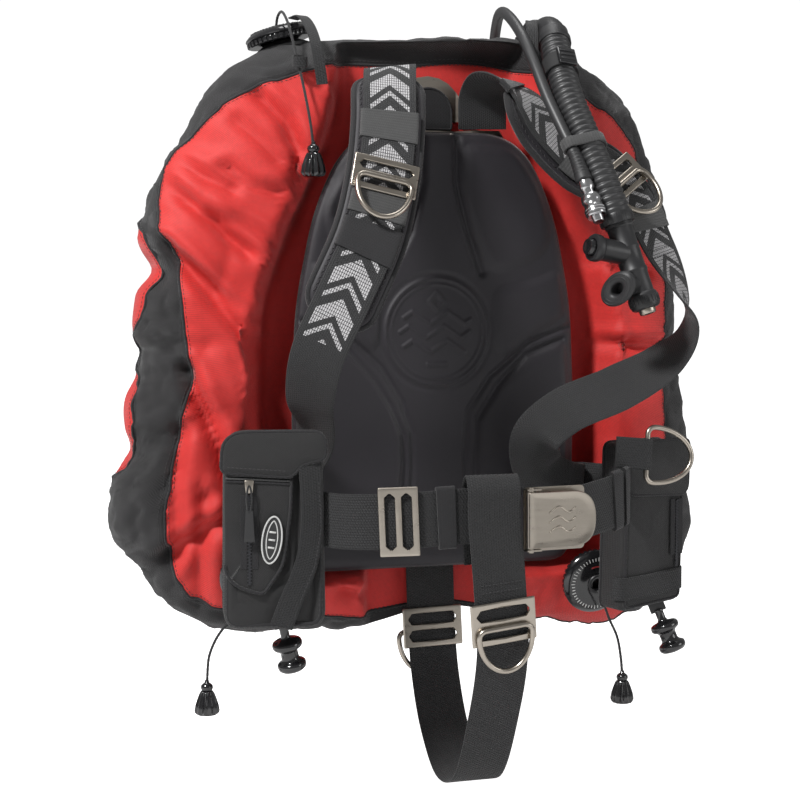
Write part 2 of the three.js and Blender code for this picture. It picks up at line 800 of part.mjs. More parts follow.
const cargoPlace = [-186, -124, -181];
const cargoTurn = -0.2;
const cargoDepth = 46;
const cargoShape = roundedRectangle(94, 178, 12);
const cargoBody = pouch(cargoShape, cargoDepth, cargoPlace, cargoTurn);
addPiece("cargo_pocket", cut(cargoBody, tunnel(routes.waist_right)), "black_cloth");

const weightPlace = [187, -101, -196];
const weightTurn = 0.3;
const weightShape = new THREE.Shape();
weightShape.moveTo(-38, -82);
weightShape.lineTo(42, -76);
weightShape.lineTo(46, 84);
weightShape.lineTo(-34, 84);
const weightBody = pouch(weightShape, 40, weightPlace, weightTurn);
addPiece("weight_pocket", cut(weightBody, tunnel(routes.waist_left)), "black_cloth");

// The cargo pocket's zip slider runs along its front, with a pull tab that swings.
const zip = new THREE.Group();
zip.position.set(...cargoPlace);
zip.rotation.z = cargoTurn;
assembly.add(zip);
const zipFace = -cargoDepth / 2 - touchGap;
const zipPlace = vec(-22, zipFace, 42);
const zipSlider = new THREE.ExtrudeGeometry(roundedRectangle(9, 12, 3), {
  depth: 3.5,
  bevelEnabled: false,
  curveSegments: 2,
});
const sliderPiece = addPiece("zip_slider", zipSlider.rotateX(Math.PI / 2), "steel", zip);
sliderPiece.position.copy(zipPlace);
const tabOutline = roundedRectangle(10, 50, 4, 0, -25);
const tab = addPiece("zip_pull", slab(tabOutline, -1.5, 1.5, 3), "rubber", zip);
tab.position.copy(zipPlace).add(vec(0, -3.5 - touchGap - 1.6, 0));

// Each weight release is a spool on a short stem under its pocket.
function spool() {
  const profile = [
    [0, 0],
    [4, 0],
    [4, 12],
    [13, 14],
    [14, 19],
    [8, 23],
    [8, 31],
    [13, 34],
    [12, 41],
    [0, 43],
  ];
  return turned(profile, 12);
}

const releases = {
  right: [vec(-176, -118, -273), vec(0.25, 0.1, -1)],
  left: [vec(206, -108, -281), vec(0.35, -0.2, -1)],
};
for (const [side, [place, direction]] of Object.entries(releases)) {
  aim(addPiece(`release_handle_${side}`, spool(), "black_plastic"), place, direction);
}

// ---- Dump valves: a cage on a port's neck, a poppet inside, and a pull cord with its knob ----

function valveBody() {
  const rim = valveRadius;
  const ceiling = valveHeight - 2.5;
  return turned([
    [14, touchGap],
    [rim, touchGap],
    [rim + 0.5, 7],
    [rim - 6, valveHeight - 2],
    [14, valveHeight],
    [5, valveHeight],
    [5, ceiling],
    [rim - 9, ceiling - 1],
    [rim - 9, 3],
    [14, 3],
    [14, touchGap],
  ], 16);
}

function poppet() {
  const base = 3 + touchGap;
  return turned([[0, base], [17, base], [17, base + poppetThickness], [0, base + poppetThickness]], 16);
}

function knob() {
  const [r, length] = [knobRadius, knobLength];
  return turned([
    [0, -length],
    [r * 0.8, -length],
    [r, -length + 4],
    [r * 0.55, -6],
    [r * 0.4, 0],
    [0, 0],
  ], 12);
}

const cords = {
  upper: [
    [-147, 25, 293],
    [-147, 20, 300],
    [-147, 2, 303],
    [-146, -18, 291],
    [-143, -40, 258],
    [-139, -58, 220],
    [-136, -68, 190],
    [-134, -70, 170],
  ],
  lower_right: [
    [-191, -66, -242],
    [-193, -74, -252],
    [-206, -78, -266],
    [-224, -76, -280],
    [-236, -74, -303],
    [-239, -74, -331],
  ],
  lower_left: [
    [160, -66, -266],
    [161, -74, -274],
    [167, -76, -292],
    [177, -74, -312],
    [182, -72, -332],
    [184, -72, -351],
  ],
};
for (const [name, places] of Object.entries(cords)) {
  const { place, direction } = ports[name];
  const seat = aim(new THREE.Group(), place.clone().addScaledVector(direction, portLift), direction);
  assembly.add(seat);
  addPiece(`dump_valve_${name}`, valveBody(), "black_plastic", seat);
  addPiece(`dump_poppet_${name}`, poppet(), "black_plastic", seat);
  addPiece(`dump_cord_${name}`, tube(places, cordRadius, 12, 8), "rubber");
  const last = vec(...places.at(-1));
  const knobPiece = addPiece(`dump_knob_${name}`, knob(), "black_plastic");
  knobPiece.position.copy(last).add(vec(0, 0, -touchGap));
}

// ---- Inflator: elbow, corrugated hose, valve body with two buttons and a mouthpiece ----

const hoseRoute = [
  [121, -32, 288],
  [117, -54, 262],
  [114, -86, 223],
  [120, -112, 183],
  [127, -136, 144],
  [134, -148, 115],
  [139, -152, 97],
];
const pressureRoute = [
  [107, -147, 136],
  [104, -134, 158],
  [98, -113, 188],
  [92, -92, 218],
  [88, -64, 256],
  [86, -36, 286],
  [86, -2, 308],
  [92, 40, 318],
  [102, 82, 304],
  [110, 112, 270],
  [114, 123, 220],
  [114, 126, 160],
  [110, 126, 100],
  [106, 125, 50],
];
const alongEnd = (route) => vec(...route.at(-1)).sub(vec(...route.at(-2))).normalize();
const alongStart = (route) => vec(...route[1]).sub(vec(...route[0])).normalize();
const barrelAxis = alongEnd(hoseRoute);
const barrelTop = vec(...hoseRoute.at(-1)).addScaledVector(barrelAxis, touchGap);

const couplerLength = 44;
const couplerAxis = alongStart(pressureRoute).negate();
const couplerTop = vec(...pressureRoute[0]).addScaledVector(couplerAxis, touchGap);

function elbow() {
  const { place, direction } = ports.inflator;
  const base = portLift + touchGap;
  const stub = turned([[0, base], [23, base], [23, base + 4], [15, base + 6], [15, base + 12], [0, base + 16]], 16);
  const middle = place.clone().addScaledVector(direction, base + 5);
  const end = vec(...hoseRoute[0]).addScaledVector(alongStart(hoseRoute), -touchGap);
  const before = end.clone().addScaledVector(alongStart(hoseRoute), -9);
  const outlet = tube([middle.toArray(), before.toArray(), end.toArray()], 13, 4, 12);
  const neckRadius = portRadius + runningGap;
  const neck = turned([[0, -40], [neckRadius, -40], [neckRadius, base], [0, base]], 16);
  return cut(joined(aimed(stub, place, direction), outlet), aimed(neck, place, direction));
}

addPiece("inflator_elbow", elbow(), "black_plastic");
addPiece("inflator_hose", tube(hoseRoute, hoseRadius, 18, 10), "rubber");

// Local +Z runs down the barrel from the hose.
const inflator = aim(new THREE.Group(), barrelTop, barrelAxis);
assembly.add(inflator);
inflator.updateMatrixWorld(true);
const toInflator = (point) => inflator.worldToLocal(point.clone());

const inflateEnd = toInflator(vec(106, -166, 75));
const inflateRoot = vec(0, 0, 30);
const inflateAxis = inflateEnd.clone().sub(inflateRoot).normalize();
const mouthEnd = toInflator(vec(129, -180, 37));
const mouthRoot = vec(0, 0, 58);
const mouthAxis = mouthEnd.clone().sub(mouthRoot).normalize();
const nippleEnd = toInflator(couplerTop.clone().addScaledVector(couplerAxis, couplerLength + touchGap));
const nippleAxis = toInflator(couplerTop).sub(nippleEnd).normalize();
const buttonSeat = 9; // depth of the recess that a button moves in

function inflatorBody() {
  const r = barrelRadius;
  const barrel = turned([[0, 0], [r, 0], [r, barrelLength], [0, barrelLength]], 18);
  const armLength = inflateEnd.distanceTo(inflateRoot);
  const arm = turned([[0, 0], [11, 0], [11, armLength], [0, armLength]], 18);
  const mouth = turned([[0, 0], [9, 0], [9, 24], [0, 24]], 18);
  const recess = (length) => {
    const radius = buttonRadius + runningGap;
    return turned([[0, length - buttonSeat], [radius, length - buttonSeat], [radius, length + 5], [0, length + 5]], 18);
  };
  const nipple = turned([[0, -16], [6, -16], [6, 0], [0, 0]], 14);
  const body = joined(
    barrel,
    aimed(arm, inflateRoot, inflateAxis),
    aimed(mouth, mouthRoot, mouthAxis),
    aimed(nipple, nippleEnd, nippleAxis),
  );
  const channel = turned([[0, 10], [6, 10], [6, 30], [0, 30]], 12);
  return cut(
    body,
    recess(barrelLength),
    aimed(recess(armLength), inflateRoot, inflateAxis),
    aimed(channel, mouthRoot, mouthAxis),
  );
}

function button() {
  const top = 4.5;
  return turned([[0, -4], [buttonRadius, -4], [buttonRadius, top - 1], [buttonRadius - 1, top], [0, top]], 18);
}

function mouthpiece() {
  const flange = turned([[6.5, 30], [17, 30], [18, 33], [15, 37], [6.5, 36], [6.5, 30]], 20).scale(1.15, 0.75, 1);
  const neck = turned([[5, 24 + touchGap], [9, 24 + touchGap], [8.6, 31], [5, 31], [5, 24 + touchGap]], 20);
  return joined(flange, neck);
}

addPiece("inflator_body", inflatorBody(), "black_plastic", inflator);
aim(addPiece("inflate_button", button(), "black_plastic", inflator), inflateEnd, inflateAxis);
aim(addPiece("deflate_button", button(), "black_plastic", inflator), vec(0, 0, barrelLength), vec(0, 0, 1));
aim(addPiece("mouthpiece", mouthpiece(), "rubber", inflator), mouthRoot, mouthAxis);

// ---- Low-pressure hose: first-stage fitting behind the cell, over its top, down to the quick disconnect ----

addPiece("pressure_hose", tube(pressureRoute, pressureHoseRadius, 40, 8), "rubber");

const fittingAxis = alongEnd(pressureRoute);
const fittingPlace = vec(...pressureRoute.at(-1)).addScaledVector(fittingAxis, touchGap);
const fitting = turned([[0, 0], [8, 0], [8, 10], [6, 11], [6, 24], [0, 24]], 12);
addPiece("first_stage_fitting", aimed(fitting, fittingPlace, fittingAxis), "chrome");

// The quick disconnect: a nipple body under the hose and a sleeve that slides back along it.
const coupler = aim(new THREE.Group(), couplerTop, couplerAxis);
assembly.add(coupler);
const body = turned([[0, 0], [7, 0], [7, 8], [5, 10], [5, couplerLength], [0, couplerLength]], 16);
addPiece("coupler_body", body, "chrome", coupler);
const sleeve = turned([
  [5 + runningGap, 16],
  [9, 16],
  [9.5, 22],
  [8.5, 26],
  [9.5, 31],
  [9, 38],
  [5 + runningGap, 38],
  [5 + runningGap, 16],
], 18);
addPiece("coupler_sleeve", sleeve, "chrome", coupler);

// The cinch band closes round the corrugated hose; the retainer holds both hoses side by side.
const curveThrough = (route) =>
  new THREE.CatmullRomCurve3(route.map((p) => vec(...p)), false, "centripetal");
const hoseCurve = curveThrough(hoseRoute);
const pressureCurve = curveThrough(pressureRoute);

function collar(radius, height, place, axis) {
  const [low, high] = [-height / 2, height / 2];
  return aimed(turned([[0, low], [radius, low], [radius, high], [0, high]], 18), place, axis);
}

function cinchBand() {
  const [place, axis] = [hoseCurve.getPoint(0.22), hoseCurve.getTangent(0.22)];
  const inner = hoseRadius + 3 * touchGap;
  return cut(collar(inner + 2.5, 20, place, axis), collar(inner, 30, place, axis));
}

function retainer() {
  const [place, axis] = [hoseCurve.getPoint(0.64), hoseCurve.getTangent(0.64)];
  let beside = pressureCurve.getPoint(0);
  for (let share = 0; share < 0.3; share += 0.005) {
    const point = pressureCurve.getPoint(share);
    if (point.distanceTo(place) < beside.distanceTo(place)) beside = point;
  }
  const [wide, narrow] = [hoseRadius + 3 * touchGap, pressureHoseRadius + 3 * touchGap];
  const blank = joined(collar(wide + 2.5, 12, place, axis), collar(narrow + 2.5, 12, beside, axis));
  return cut(blank, collar(wide, 30, place, axis), collar(narrow, 30, beside, axis));
}

addPiece("hose_cinch", cinchBand(), "rubber");
addPiece("hose_retainer", retainer(), "rubber");

export default assembly;
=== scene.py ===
# %% [markdown]
# # A diving vest, piece by piece
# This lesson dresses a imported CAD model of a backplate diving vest. The CAD holds every size and every
# joint. Blender adds cloth, webbing, stitching, moulded plastic and metal around it. Lengths are in
# metres: +X is the wearer's left, -Y faces the wearer, and +Z is up.

# %% Load the frame
import math

import bmesh
import bpy
import numpy as np
from mathutils import Matrix, Vector, noise


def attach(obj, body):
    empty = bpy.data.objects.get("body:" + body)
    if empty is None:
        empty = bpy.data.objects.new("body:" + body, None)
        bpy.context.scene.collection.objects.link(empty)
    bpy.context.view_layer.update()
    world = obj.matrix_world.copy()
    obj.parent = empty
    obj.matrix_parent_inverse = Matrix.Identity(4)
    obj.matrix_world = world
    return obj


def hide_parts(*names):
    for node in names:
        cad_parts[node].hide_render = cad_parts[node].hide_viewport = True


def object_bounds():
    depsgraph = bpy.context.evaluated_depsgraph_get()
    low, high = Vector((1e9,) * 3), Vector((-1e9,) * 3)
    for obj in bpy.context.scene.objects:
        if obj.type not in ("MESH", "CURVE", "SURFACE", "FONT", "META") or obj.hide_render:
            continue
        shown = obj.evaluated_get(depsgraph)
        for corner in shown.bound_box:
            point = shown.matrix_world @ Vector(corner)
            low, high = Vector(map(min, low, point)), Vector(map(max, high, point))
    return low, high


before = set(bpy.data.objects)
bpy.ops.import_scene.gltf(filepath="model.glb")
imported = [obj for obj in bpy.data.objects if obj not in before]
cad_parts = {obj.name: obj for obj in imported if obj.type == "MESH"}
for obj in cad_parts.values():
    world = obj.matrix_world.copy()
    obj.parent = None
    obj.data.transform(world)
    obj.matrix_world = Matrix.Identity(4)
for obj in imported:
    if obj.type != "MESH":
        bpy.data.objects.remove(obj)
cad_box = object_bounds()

MM = 0.001

# %% [markdown]
# The camera comes first, because every later choice is judged through it. It stands a little to the
# wearer's right and slightly above the middle, and far enough away to keep the straps from looking
# swollen. The floor lies below the lowest strap, and a pale world gives soft light from all sides.

# %% Camera, floor and light
scene = bpy.context.scene
aim_point = Vector((-0.028, 0.0, -0.075))
view_line = Vector((0.2917, 0.954, -0.0698)).normalized()
view_distance = 1.7
camera_data = bpy.data.cameras.new("camera")
camera_data.lens = 76.5
camera_data.sensor_width = 36.0
camera = bpy.data.objects.new("camera", camera_data)
camera.location = aim_point - view_line * view_distance
camera.rotation_euler = view_line.to_track_quat("-Z", "Y").to_euler()
scene.collection.objects.link(camera)
scene.camera = camera

world = bpy.data.worlds.new("pale_studio")
scene.world = world
world.use_nodes = True
world.node_tree.nodes["Background"].inputs["Color"].default_value = (1.0, 1.0, 1.0, 1.0)
backdrop = world.node_tree.nodes["Background"]
backdrop.inputs["Strength"].default_value = 0.26
# the backdrop itself looks white, while the light it gives stays low enough to keep shadows in the folds
bright = world.node_tree.nodes.new("ShaderNodeBackground")
bright.inputs["Color"].default_value = (1.0, 1.0, 1.0, 1.0)
bright.inputs["Strength"].default_value = 1.05
choose = world.node_tree.nodes.new("ShaderNodeMixShader")
rays = world.node_tree.nodes.new("ShaderNodeLightPath")
world.node_tree.links.new(rays.outputs["Is Camera Ray"], choose.inputs[0])
world.node_tree.links.new(backdrop.outputs[0], choose.inputs[1])
world.node_tree.links.new(bright.outputs[0], choose.inputs[2])
world.node_tree.links.new(choose.outputs[0], world.node_tree.nodes["World Output"].inputs[0])
scene.view_settings.view_transform = "Standard"


def area_light(name, place, target, size, power):
    data = bpy.data.lights.new(name, "AREA")
    data.shape = "DISK"
    data.size = size
    data.energy = power
    light = bpy.data.objects.new(name, data)
    light.location = place
    light.rotation_euler = (Vector(target) - Vector(place)).to_track_quat("-Z", "Y").to_euler()
    scene.collection.objects.link(light)
    return light


area_light("key", (-1.7, -1.1, 1.9), (0, 0, 0), 0.45, 92)
area_light("fill", (1.9, -1.6, 0.5), (0, 0, 0), 1.2, 12)
area_light("top", (0.1, 0.3, 2.0), (0, 0, 0), 1.0, 12)

floor_height = cad_box[0][2] - 0.03
bpy.ops.mesh.primitive_plane_add(size=30, location=(0, 0, floor_height))
floor = bpy.context.object
floor.name = "studio_floor"
print("floor at", round(floor_height, 3))

# %% [markdown]
# A few helpers follow. Each new mesh comes from rows of points, or from a primitive that operators shape.
# Pieces share one way of being finished: a name, a material, the body they ride on and the CAD node that
# they stand for.

# %% Helpers: deselect, finish and skin
def deselect():
    if bpy.context.object and bpy.context.object.mode != "OBJECT":
        bpy.ops.object.mode_set(mode="OBJECT")
    bpy.ops.object.select_all(action="DESELECT")


def select_only(piece):
    deselect()
    piece.select_set(True)
    bpy.context.view_layer.objects.active = piece


def apply_modifiers(piece):
    select_only(piece)
    for modifier in list(piece.modifiers):
        bpy.ops.object.modifier_apply(modifier=modifier.name)


def finish(piece, name, material, body="harness", replaces=(), angle=None):
    piece.name = name
    piece.data.name = name
    if material is not None:
        piece.data.materials.clear()
        piece.data.materials.append(material)
    select_only(piece)
    if angle is None:
        bpy.ops.object.shade_smooth()
    else:
        bpy.ops.object.shade_smooth_by_angle(angle=math.radians(angle))
    if replaces:
        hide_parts(*replaces)
    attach(piece, body)
    return piece


def mesh_piece(points, faces, uvs=None):
    mesh = bpy.data.meshes.new("piece")
    mesh.from_pydata([tuple(p) for p in points], [], faces)
    if uvs is not None:
        layer = mesh.uv_layers.new(name="UVMap")
        layer.data.foreach_set("uv", np.asarray(uvs, np.float32).ravel())
    mesh.validate()
    piece = bpy.data.objects.new("piece", mesh)
    scene.collection.objects.link(piece)
    return piece


def skin(rings, across=None, along=None, closed=False, caps=True):
    """Quads between closed rows of points, rings[i][j]. across and along are UV lengths in metres."""
    rings = np.asarray(rings, float)
    n, m = rings.shape[:2]
    if along is None:
        along = np.r_[0, np.cumsum(np.linalg.norm(np.diff(rings.mean(1), axis=0), axis=1))]
    if closed and len(along) == n:
        along = np.r_[along, along[-1] + (along[-1] - along[-2])]
    if across is None:
        ring = np.vstack([rings[n // 2], rings[n // 2][:1]])
        across = np.r_[0, np.cumsum(np.linalg.norm(np.diff(ring, axis=0), axis=1))]
    faces, uvs = [], []
    for i in range(n if closed else n - 1):
        k = (i + 1) % n
        for j in range(m):
            q = (j + 1) % m
            faces.append((i * m + j, i * m + q, k * m + q, k * m + j))
            uvs += [(across[j], along[i]), (across[j + 1], along[i])]
            uvs += [(across[j + 1], along[i + 1]), (across[j], along[i + 1])]
    if caps and not closed:
        faces.append(tuple(range(m - 1, -1, -1)))
        faces.append(tuple((n - 1) * m + j for j in range(m)))
        uvs += [(0, 0)] * (2 * m)
    piece = mesh_piece(rings.reshape(-1, 3), faces, uvs)
    outward(piece)
    return piece


def outward(piece):
    work = bmesh.new()
    work.from_mesh(piece.data)
    bmesh.ops.recalc_face_normals(work, faces=work.faces)
    work.to_mesh(piece.data)
    work.free()


print("helpers ready")

# %% [markdown]
# The CAD bends its webbing, hoses and cords along centripetal Catmull-Rom curves. The same curve is
# written here, so that a Blender strap lies exactly where its CAD strap lies.

# %% Curves and strap frames
def curve(points, shares, closed=False):
    p = np.asarray(points, float)
    n = len(p)
    out = []
    for t in np.atleast_1d(shares):
        place = (n if closed else n - 1) * (t % 1.0 if closed else min(max(t, 0.0), 1.0))
        i = int(math.floor(place))
        w = place - i
        if not closed and i >= n - 1:
            i, w = n - 2, 1.0
        at = lambda k: p[k % n]
        p1, p2 = at(i), at(i + 1)
        p0 = at(i - 1) if closed or i > 0 else 2 * p[0] - p[1]
        p3 = at(i + 2) if closed or i + 2 < n else 2 * p[-1] - p[-2]
        d = [max(((b - a) @ (b - a)) ** 0.25, 1e-4) for a, b in ((p0, p1), (p1, p2), (p2, p3))]
        t1 = ((p1 - p0) / d[0] - (p2 - p0) / (d[0] + d[1]) + (p2 - p1) / d[1]) * d[1]
        t2 = ((p2 - p1) / d[1] - (p3 - p1) / (d[1] + d[2]) + (p3 - p2) / d[2]) * d[1]
        c2 = -3 * p1 + 3 * p2 - 2 * t1 - t2
        c3 = 2 * p1 - 2 * p2 + t1 + t2
        out.append(p1 + t1 * w + c2 * w * w + c3 * w ** 3)
    return np.array(out)


def unit(v):
    v = np.asarray(v, float)
    return v / np.maximum(np.linalg.norm(v, axis=-1, keepdims=True), 1e-12)


def tangents(points, shares, closed=False):
    step = 1e-4
    return unit(curve(points, shares + step, closed) - curve(points, shares - step, closed))


def strap_frames(stations, shares):
    """Place, along, across and outward of a strap at each share of its stations (millimetres)."""
    s = np.asarray(stations, float)
    shares = np.asarray(shares, float)
    place = curve(s[:, :3] * MM, shares)
    inside = np.clip(shares, 2e-4, 1 - 2e-4)
    along = tangents(s[:, :3] * MM, inside)
    across = unit(np.cross(curve(s[:, 3:], shares), along))
    return place, along, across, np.cross(along, across)


def rounded_section(width, thickness, bulge=0.0, corner=5):
    """A strap's cross-section: flat faces with rounded edges, as [across, outward] in metres."""
    r = thickness / 2
    points = []
    for side in (1, -1):
        for k in range(corner + 1):
            a = math.pi * (k / corner - 0.5)
            points.append((side * (width / 2 - r + r * math.cos(a)), side * r * math.sin(a)))
        for k in (0.4, 0.2, 0.0, -0.2, -0.4):
            points.append((side * k * width, side * (r + bulge * (1 - 4 * k * k))))
    return np.array(points)


def strap(stations, width, thickness, steps, lift=0.0, start=0.0, end=1.0, bulge=0.0, rounding=0.0):
    """Webbing along a route. rounding is the length over which its two ends narrow to a round."""
    shares = np.linspace(start, end, steps + 1)
    place, along, across, out = strap_frames(stations, shares)
    section = rounded_section(width, thickness, bulge)
    narrow = np.ones(len(shares))
    if rounding:
        reach = np.r_[0, np.cumsum(np.linalg.norm(np.diff(place, axis=0), axis=1))]
        gap = np.clip(np.minimum(reach, reach[-1] - reach) / rounding, 0.0, 1.0)
        narrow = np.maximum(np.sqrt(1 - (1 - gap) ** 2), 0.25)
    rings = (place[:, None] + across[:, None] * section[None, :, :1] * narrow[:, None, None] + out[:,
        None] * (section[None, :, 1:] + lift))
    # u runs round the section from the middle of the outer face, so a pattern can keep to that face
    around = np.vstack([section, section[:1]])
    u = np.r_[0, np.cumsum(np.linalg.norm(np.diff(around, axis=0), axis=1))]
    middle = np.argmin(np.abs(section[:, 0]) - section[:, 1])
    return skin(rings, across=u - u[middle])


def hose(points, radius, sides=16):
    """A round tube on a list of points, with radius a number or one for each point."""
    p = np.asarray(points, float)
    t = unit(np.gradient(p, axis=0))
    radii = np.full(len(p), radius, float) if np.isscalar(radius) else np.asarray(radius, float)
    normal = np.cross(t[0], (0.3, 0.2, 0.9))
    rings = []
    for k in range(len(p)):
        normal = unit(normal - (normal @ t[k]) * t[k])
        other = np.cross(t[k], normal)
        a = np.linspace(0, 2 * math.pi, sides, endpoint=False)[:, None]
        rings.append(p[k] + radii[k] * (np.cos(a) * normal + np.sin(a) * other))
    return skin(rings)


print("curves ready")

# %% [markdown]
# Materials share two node groups. The first draws threads that pass over and under each other, at a pitch
# in metres, and paints shade into the colour between the threads, with slightly lighter crowns. The second
# adds slow changes of tone and fine grain, as dye, dust and wear do. Each material sets its own values on
# these groups and keeps its own Principled shader.

# %% Shader groups: threads and tone
def node(tree, kind, inputs=None, **settings):
    made = tree.nodes.new("ShaderNode" + kind)
    for key, value in settings.items():
        setattr(made, key, value)
    for key, value in (inputs or {}).items():
        if isinstance(value, bpy.types.NodeSocket):
            tree.links.new(value, made.inputs[key])
        else:
            made.inputs[key].default_value = value
    return made


def math_node(tree, operation, a, b=0.0):
    made = node(tree, "Math", operation=operation)
    for socket, value in zip(made.inputs, (a, b)):
        if isinstance(value, bpy.types.NodeSocket):
            tree.links.new(value, socket)
        else:
            socket.default_value = value
    return made.outputs[0]


def new_group(name, inputs, outputs):
    tree = bpy.data.node_groups.new(name, "ShaderNodeTree")
    for label, kind, value in inputs:
        socket = tree.interface.new_socket(label, in_out="INPUT", socket_type=kind)
        if value is not None:
            socket.default_value = value
    for label, kind in outputs:
        tree.interface.new_socket(label, in_out="OUTPUT", socket_type=kind)
    return tree, tree.nodes.new("NodeGroupInput"), tree.nodes.new("NodeGroupOutput")


def threads_group():
    tree, given, result = new_group("threads", [("Vector", "NodeSocketVector", None),
        ("Pitch", "NodeSocketFloat", 0.001), ("Stretch", "NodeSocketFloat", 1.0)],
        [("Height", "NodeSocketFloat"), ("Painted Shade", "NodeSocketFloat")])
    split = node(tree, "SeparateXYZ", {"Vector": given.outputs["Vector"]})
    u = math_node(tree, "DIVIDE", split.outputs[0], given.outputs["Pitch"])
    long_pitch = math_node(tree, "MULTIPLY", given.outputs["Pitch"], given.outputs["Stretch"])
    v = math_node(tree, "DIVIDE", split.outputs[1], long_pitch)
    warp = math_node(tree, "ABSOLUTE", math_node(tree, "SINE", math_node(tree, "MULTIPLY", u, math.pi)))
    weft = math_node(tree, "ABSOLUTE", math_node(tree, "SINE", math_node(tree, "MULTIPLY", v, math.pi)))
    cell = math_node(tree, "ADD", math_node(tree, "FLOOR", u), math_node(tree, "FLOOR", v))
    over = math_node(tree, "PINGPONG", cell, 1.0)
    a = math_node(tree, "MULTIPLY", warp, over)
    b = math_node(tree, "MULTIPLY", weft, math_node(tree, "SUBTRACT", 1.0, over))
    height = math_node(tree, "ADD", a, b)
    tree.links.new(height, result.inputs["Height"])
    # painted shade: the colour darkens in the valleys between threads and is painted a little lighter on
    # their crowns
    painted_shade = node(tree, "MapRange", {"Value": height, "To Min": 0.45, "To Max": 1.1})
    tree.links.new(painted_shade.outputs[0], result.inputs["Painted Shade"])
    return tree


def tone_group():
    tree, given, result = new_group("tone", [("Vector", "NodeSocketVector", None),
        ("Color", "NodeSocketColor", (0.5, 0.5, 0.5, 1)), ("Painted Shade", "NodeSocketFloat", 1.0),
        ("Roughness", "NodeSocketFloat", 0.5), ("Patch Size", "NodeSocketFloat", 0.05),
        ("Amount", "NodeSocketFloat", 0.15), ("Grain Size", "NodeSocketFloat", 0.001)],
        [("Color", "NodeSocketColor"), ("Roughness", "NodeSocketFloat"), ("Grain", "NodeSocketFloat")])
    patch_scale = math_node(tree, "DIVIDE", 1.0, given.outputs["Patch Size"])
    grain_scale = math_node(tree, "DIVIDE", 1.0, given.outputs["Grain Size"])
    patches = node(tree, "TexNoise", {"Vector": given.outputs["Vector"], "Scale": patch_scale,
        "Detail": 4.0})
    grain = node(tree, "TexNoise", {"Vector": given.outputs["Vector"], "Scale": grain_scale, "Detail": 2.0})
    centred = math_node(tree, "SUBTRACT", patches.outputs["Fac"], 0.5)
    swing = math_node(tree, "MULTIPLY", centred, given.outputs["Amount"])
    fine = math_node(tree, "MULTIPLY", math_node(tree, "SUBTRACT", grain.outputs["Fac"], 0.5), 0.25)
    # the threads' painted shade scales the colour here, together with the random patches and grain
    level = math_node(tree, "ADD", math_node(tree, "ADD", swing, fine), given.outputs["Painted Shade"])
    colour = node(tree, "VectorMath", {0: given.outputs["Color"]}, operation="SCALE")
    tree.links.new(level, colour.inputs["Scale"])
    tree.links.new(colour.outputs[0], result.inputs["Color"])
    rough = math_node(tree, "ADD", given.outputs["Roughness"], swing)
    tree.links.new(rough, result.inputs["Roughness"])
    tree.links.new(grain.outputs["Fac"], result.inputs["Grain"])
    return tree


threads = threads_group()
tone = tone_group()
print("shader groups:", threads.name, tone.name)

# %% [markdown]
# Cloth is a thread pattern under a soft sheen. Metal and plastic have no threads, only grain and a slow
# change of polish. One recipe makes each kind, so a finish is a short line of numbers.

# %% Material recipes: cloth and smooth
def group_node(tree, group, inputs):
    made = node(tree, "Group", node_tree=group)
    for key, value in inputs.items():
        if isinstance(value, bpy.types.NodeSocket):
            tree.links.new(value, made.inputs[key])
        else:
            made.inputs[key].default_value = value
    return made


def principled(name, **constants):
    made = bpy.data.materials.new(name)
    made.use_nodes = True
    shader = made.node_tree.nodes["Principled BSDF"]
    for key, value in constants.items():
        shader.inputs[key.replace("_", " ")].default_value = value
    return made, made.node_tree, shader


def cloth(name, colour, pitch, stretch=1.0, roughness=0.75, sheen=0.2, depth=0.0003, amount=0.2, uv=True,
    patch=0.05, puckers=0.0):
    made, tree, shader = principled(name, Sheen_Weight=sheen, Sheen_Roughness=0.4)
    coordinates = node(tree, "TexCoord")
    place = coordinates.outputs["UV"]
    if not uv:  # without a UV map the threads run along X and Z, which suits pieces that face the wearer
        axes = node(tree, "SeparateXYZ", {"Vector": coordinates.outputs["Object"]})
        place = node(tree, "CombineXYZ", {"X": axes.outputs["X"], "Y": axes.outputs["Z"]}).outputs[0]
    weave = group_node(tree, threads, {"Vector": place, "Pitch": pitch, "Stretch": stretch})
    look = group_node(tree, tone, {"Vector": coordinates.outputs["Object"], "Color": (*colour, 1),
        "Painted Shade": weave.outputs["Painted Shade"], "Roughness": roughness, "Patch Size": patch, "Amount": amount,
        "Grain Size": 0.004})
    tree.links.new(look.outputs["Color"], shader.inputs["Base Color"])
    tree.links.new(look.outputs["Roughness"], shader.inputs["Roughness"])
    height = weave.outputs["Height"]
    if puckers:
        folds = node(tree, "TexNoise", {"Vector": coordinates.outputs["Object"], "Scale": 60.0,
            "Detail": 3.0})
        height = math_node(tree, "ADD", height, math_node(tree, "MULTIPLY", folds.outputs["Fac"], puckers))
    bump = node(tree, "Bump", {"Height": height, "Distance": depth, "Strength": 0.7})
    tree.links.new(bump.outputs[0], shader.inputs["Normal"])
    return made


def smooth(name, colour, roughness, metallic=0.0, coat=0.0, amount=0.15, patch=0.03, grain=0.0008,
    depth=0.00005, stretch=(1, 1, 1)):
    made, tree, shader = principled(name, Metallic=metallic, Coat_Weight=coat, Coat_Roughness=0.08)
    coordinates = node(tree, "TexCoord")
    mapped = node(tree, "Mapping", {"Vector": coordinates.outputs["Object"], "Scale": stretch})
    look = group_node(tree, tone, {"Vector": mapped.outputs[0], "Color": (*colour, 1), "Painted Shade": 1.0,
        "Roughness": roughness, "Patch Size": patch, "Amount": amount, "Grain Size": grain})
    tree.links.new(look.outputs["Color"], shader.inputs["Base Color"])
    tree.links.new(look.outputs["Roughness"], shader.inputs["Roughness"])
    bump = node(tree, "Bump", {"Height": look.outputs["Grain"], "Distance": depth, "Strength": 0.5})
    tree.links.new(bump.outputs[0], shader.inputs["Normal"])
    return made


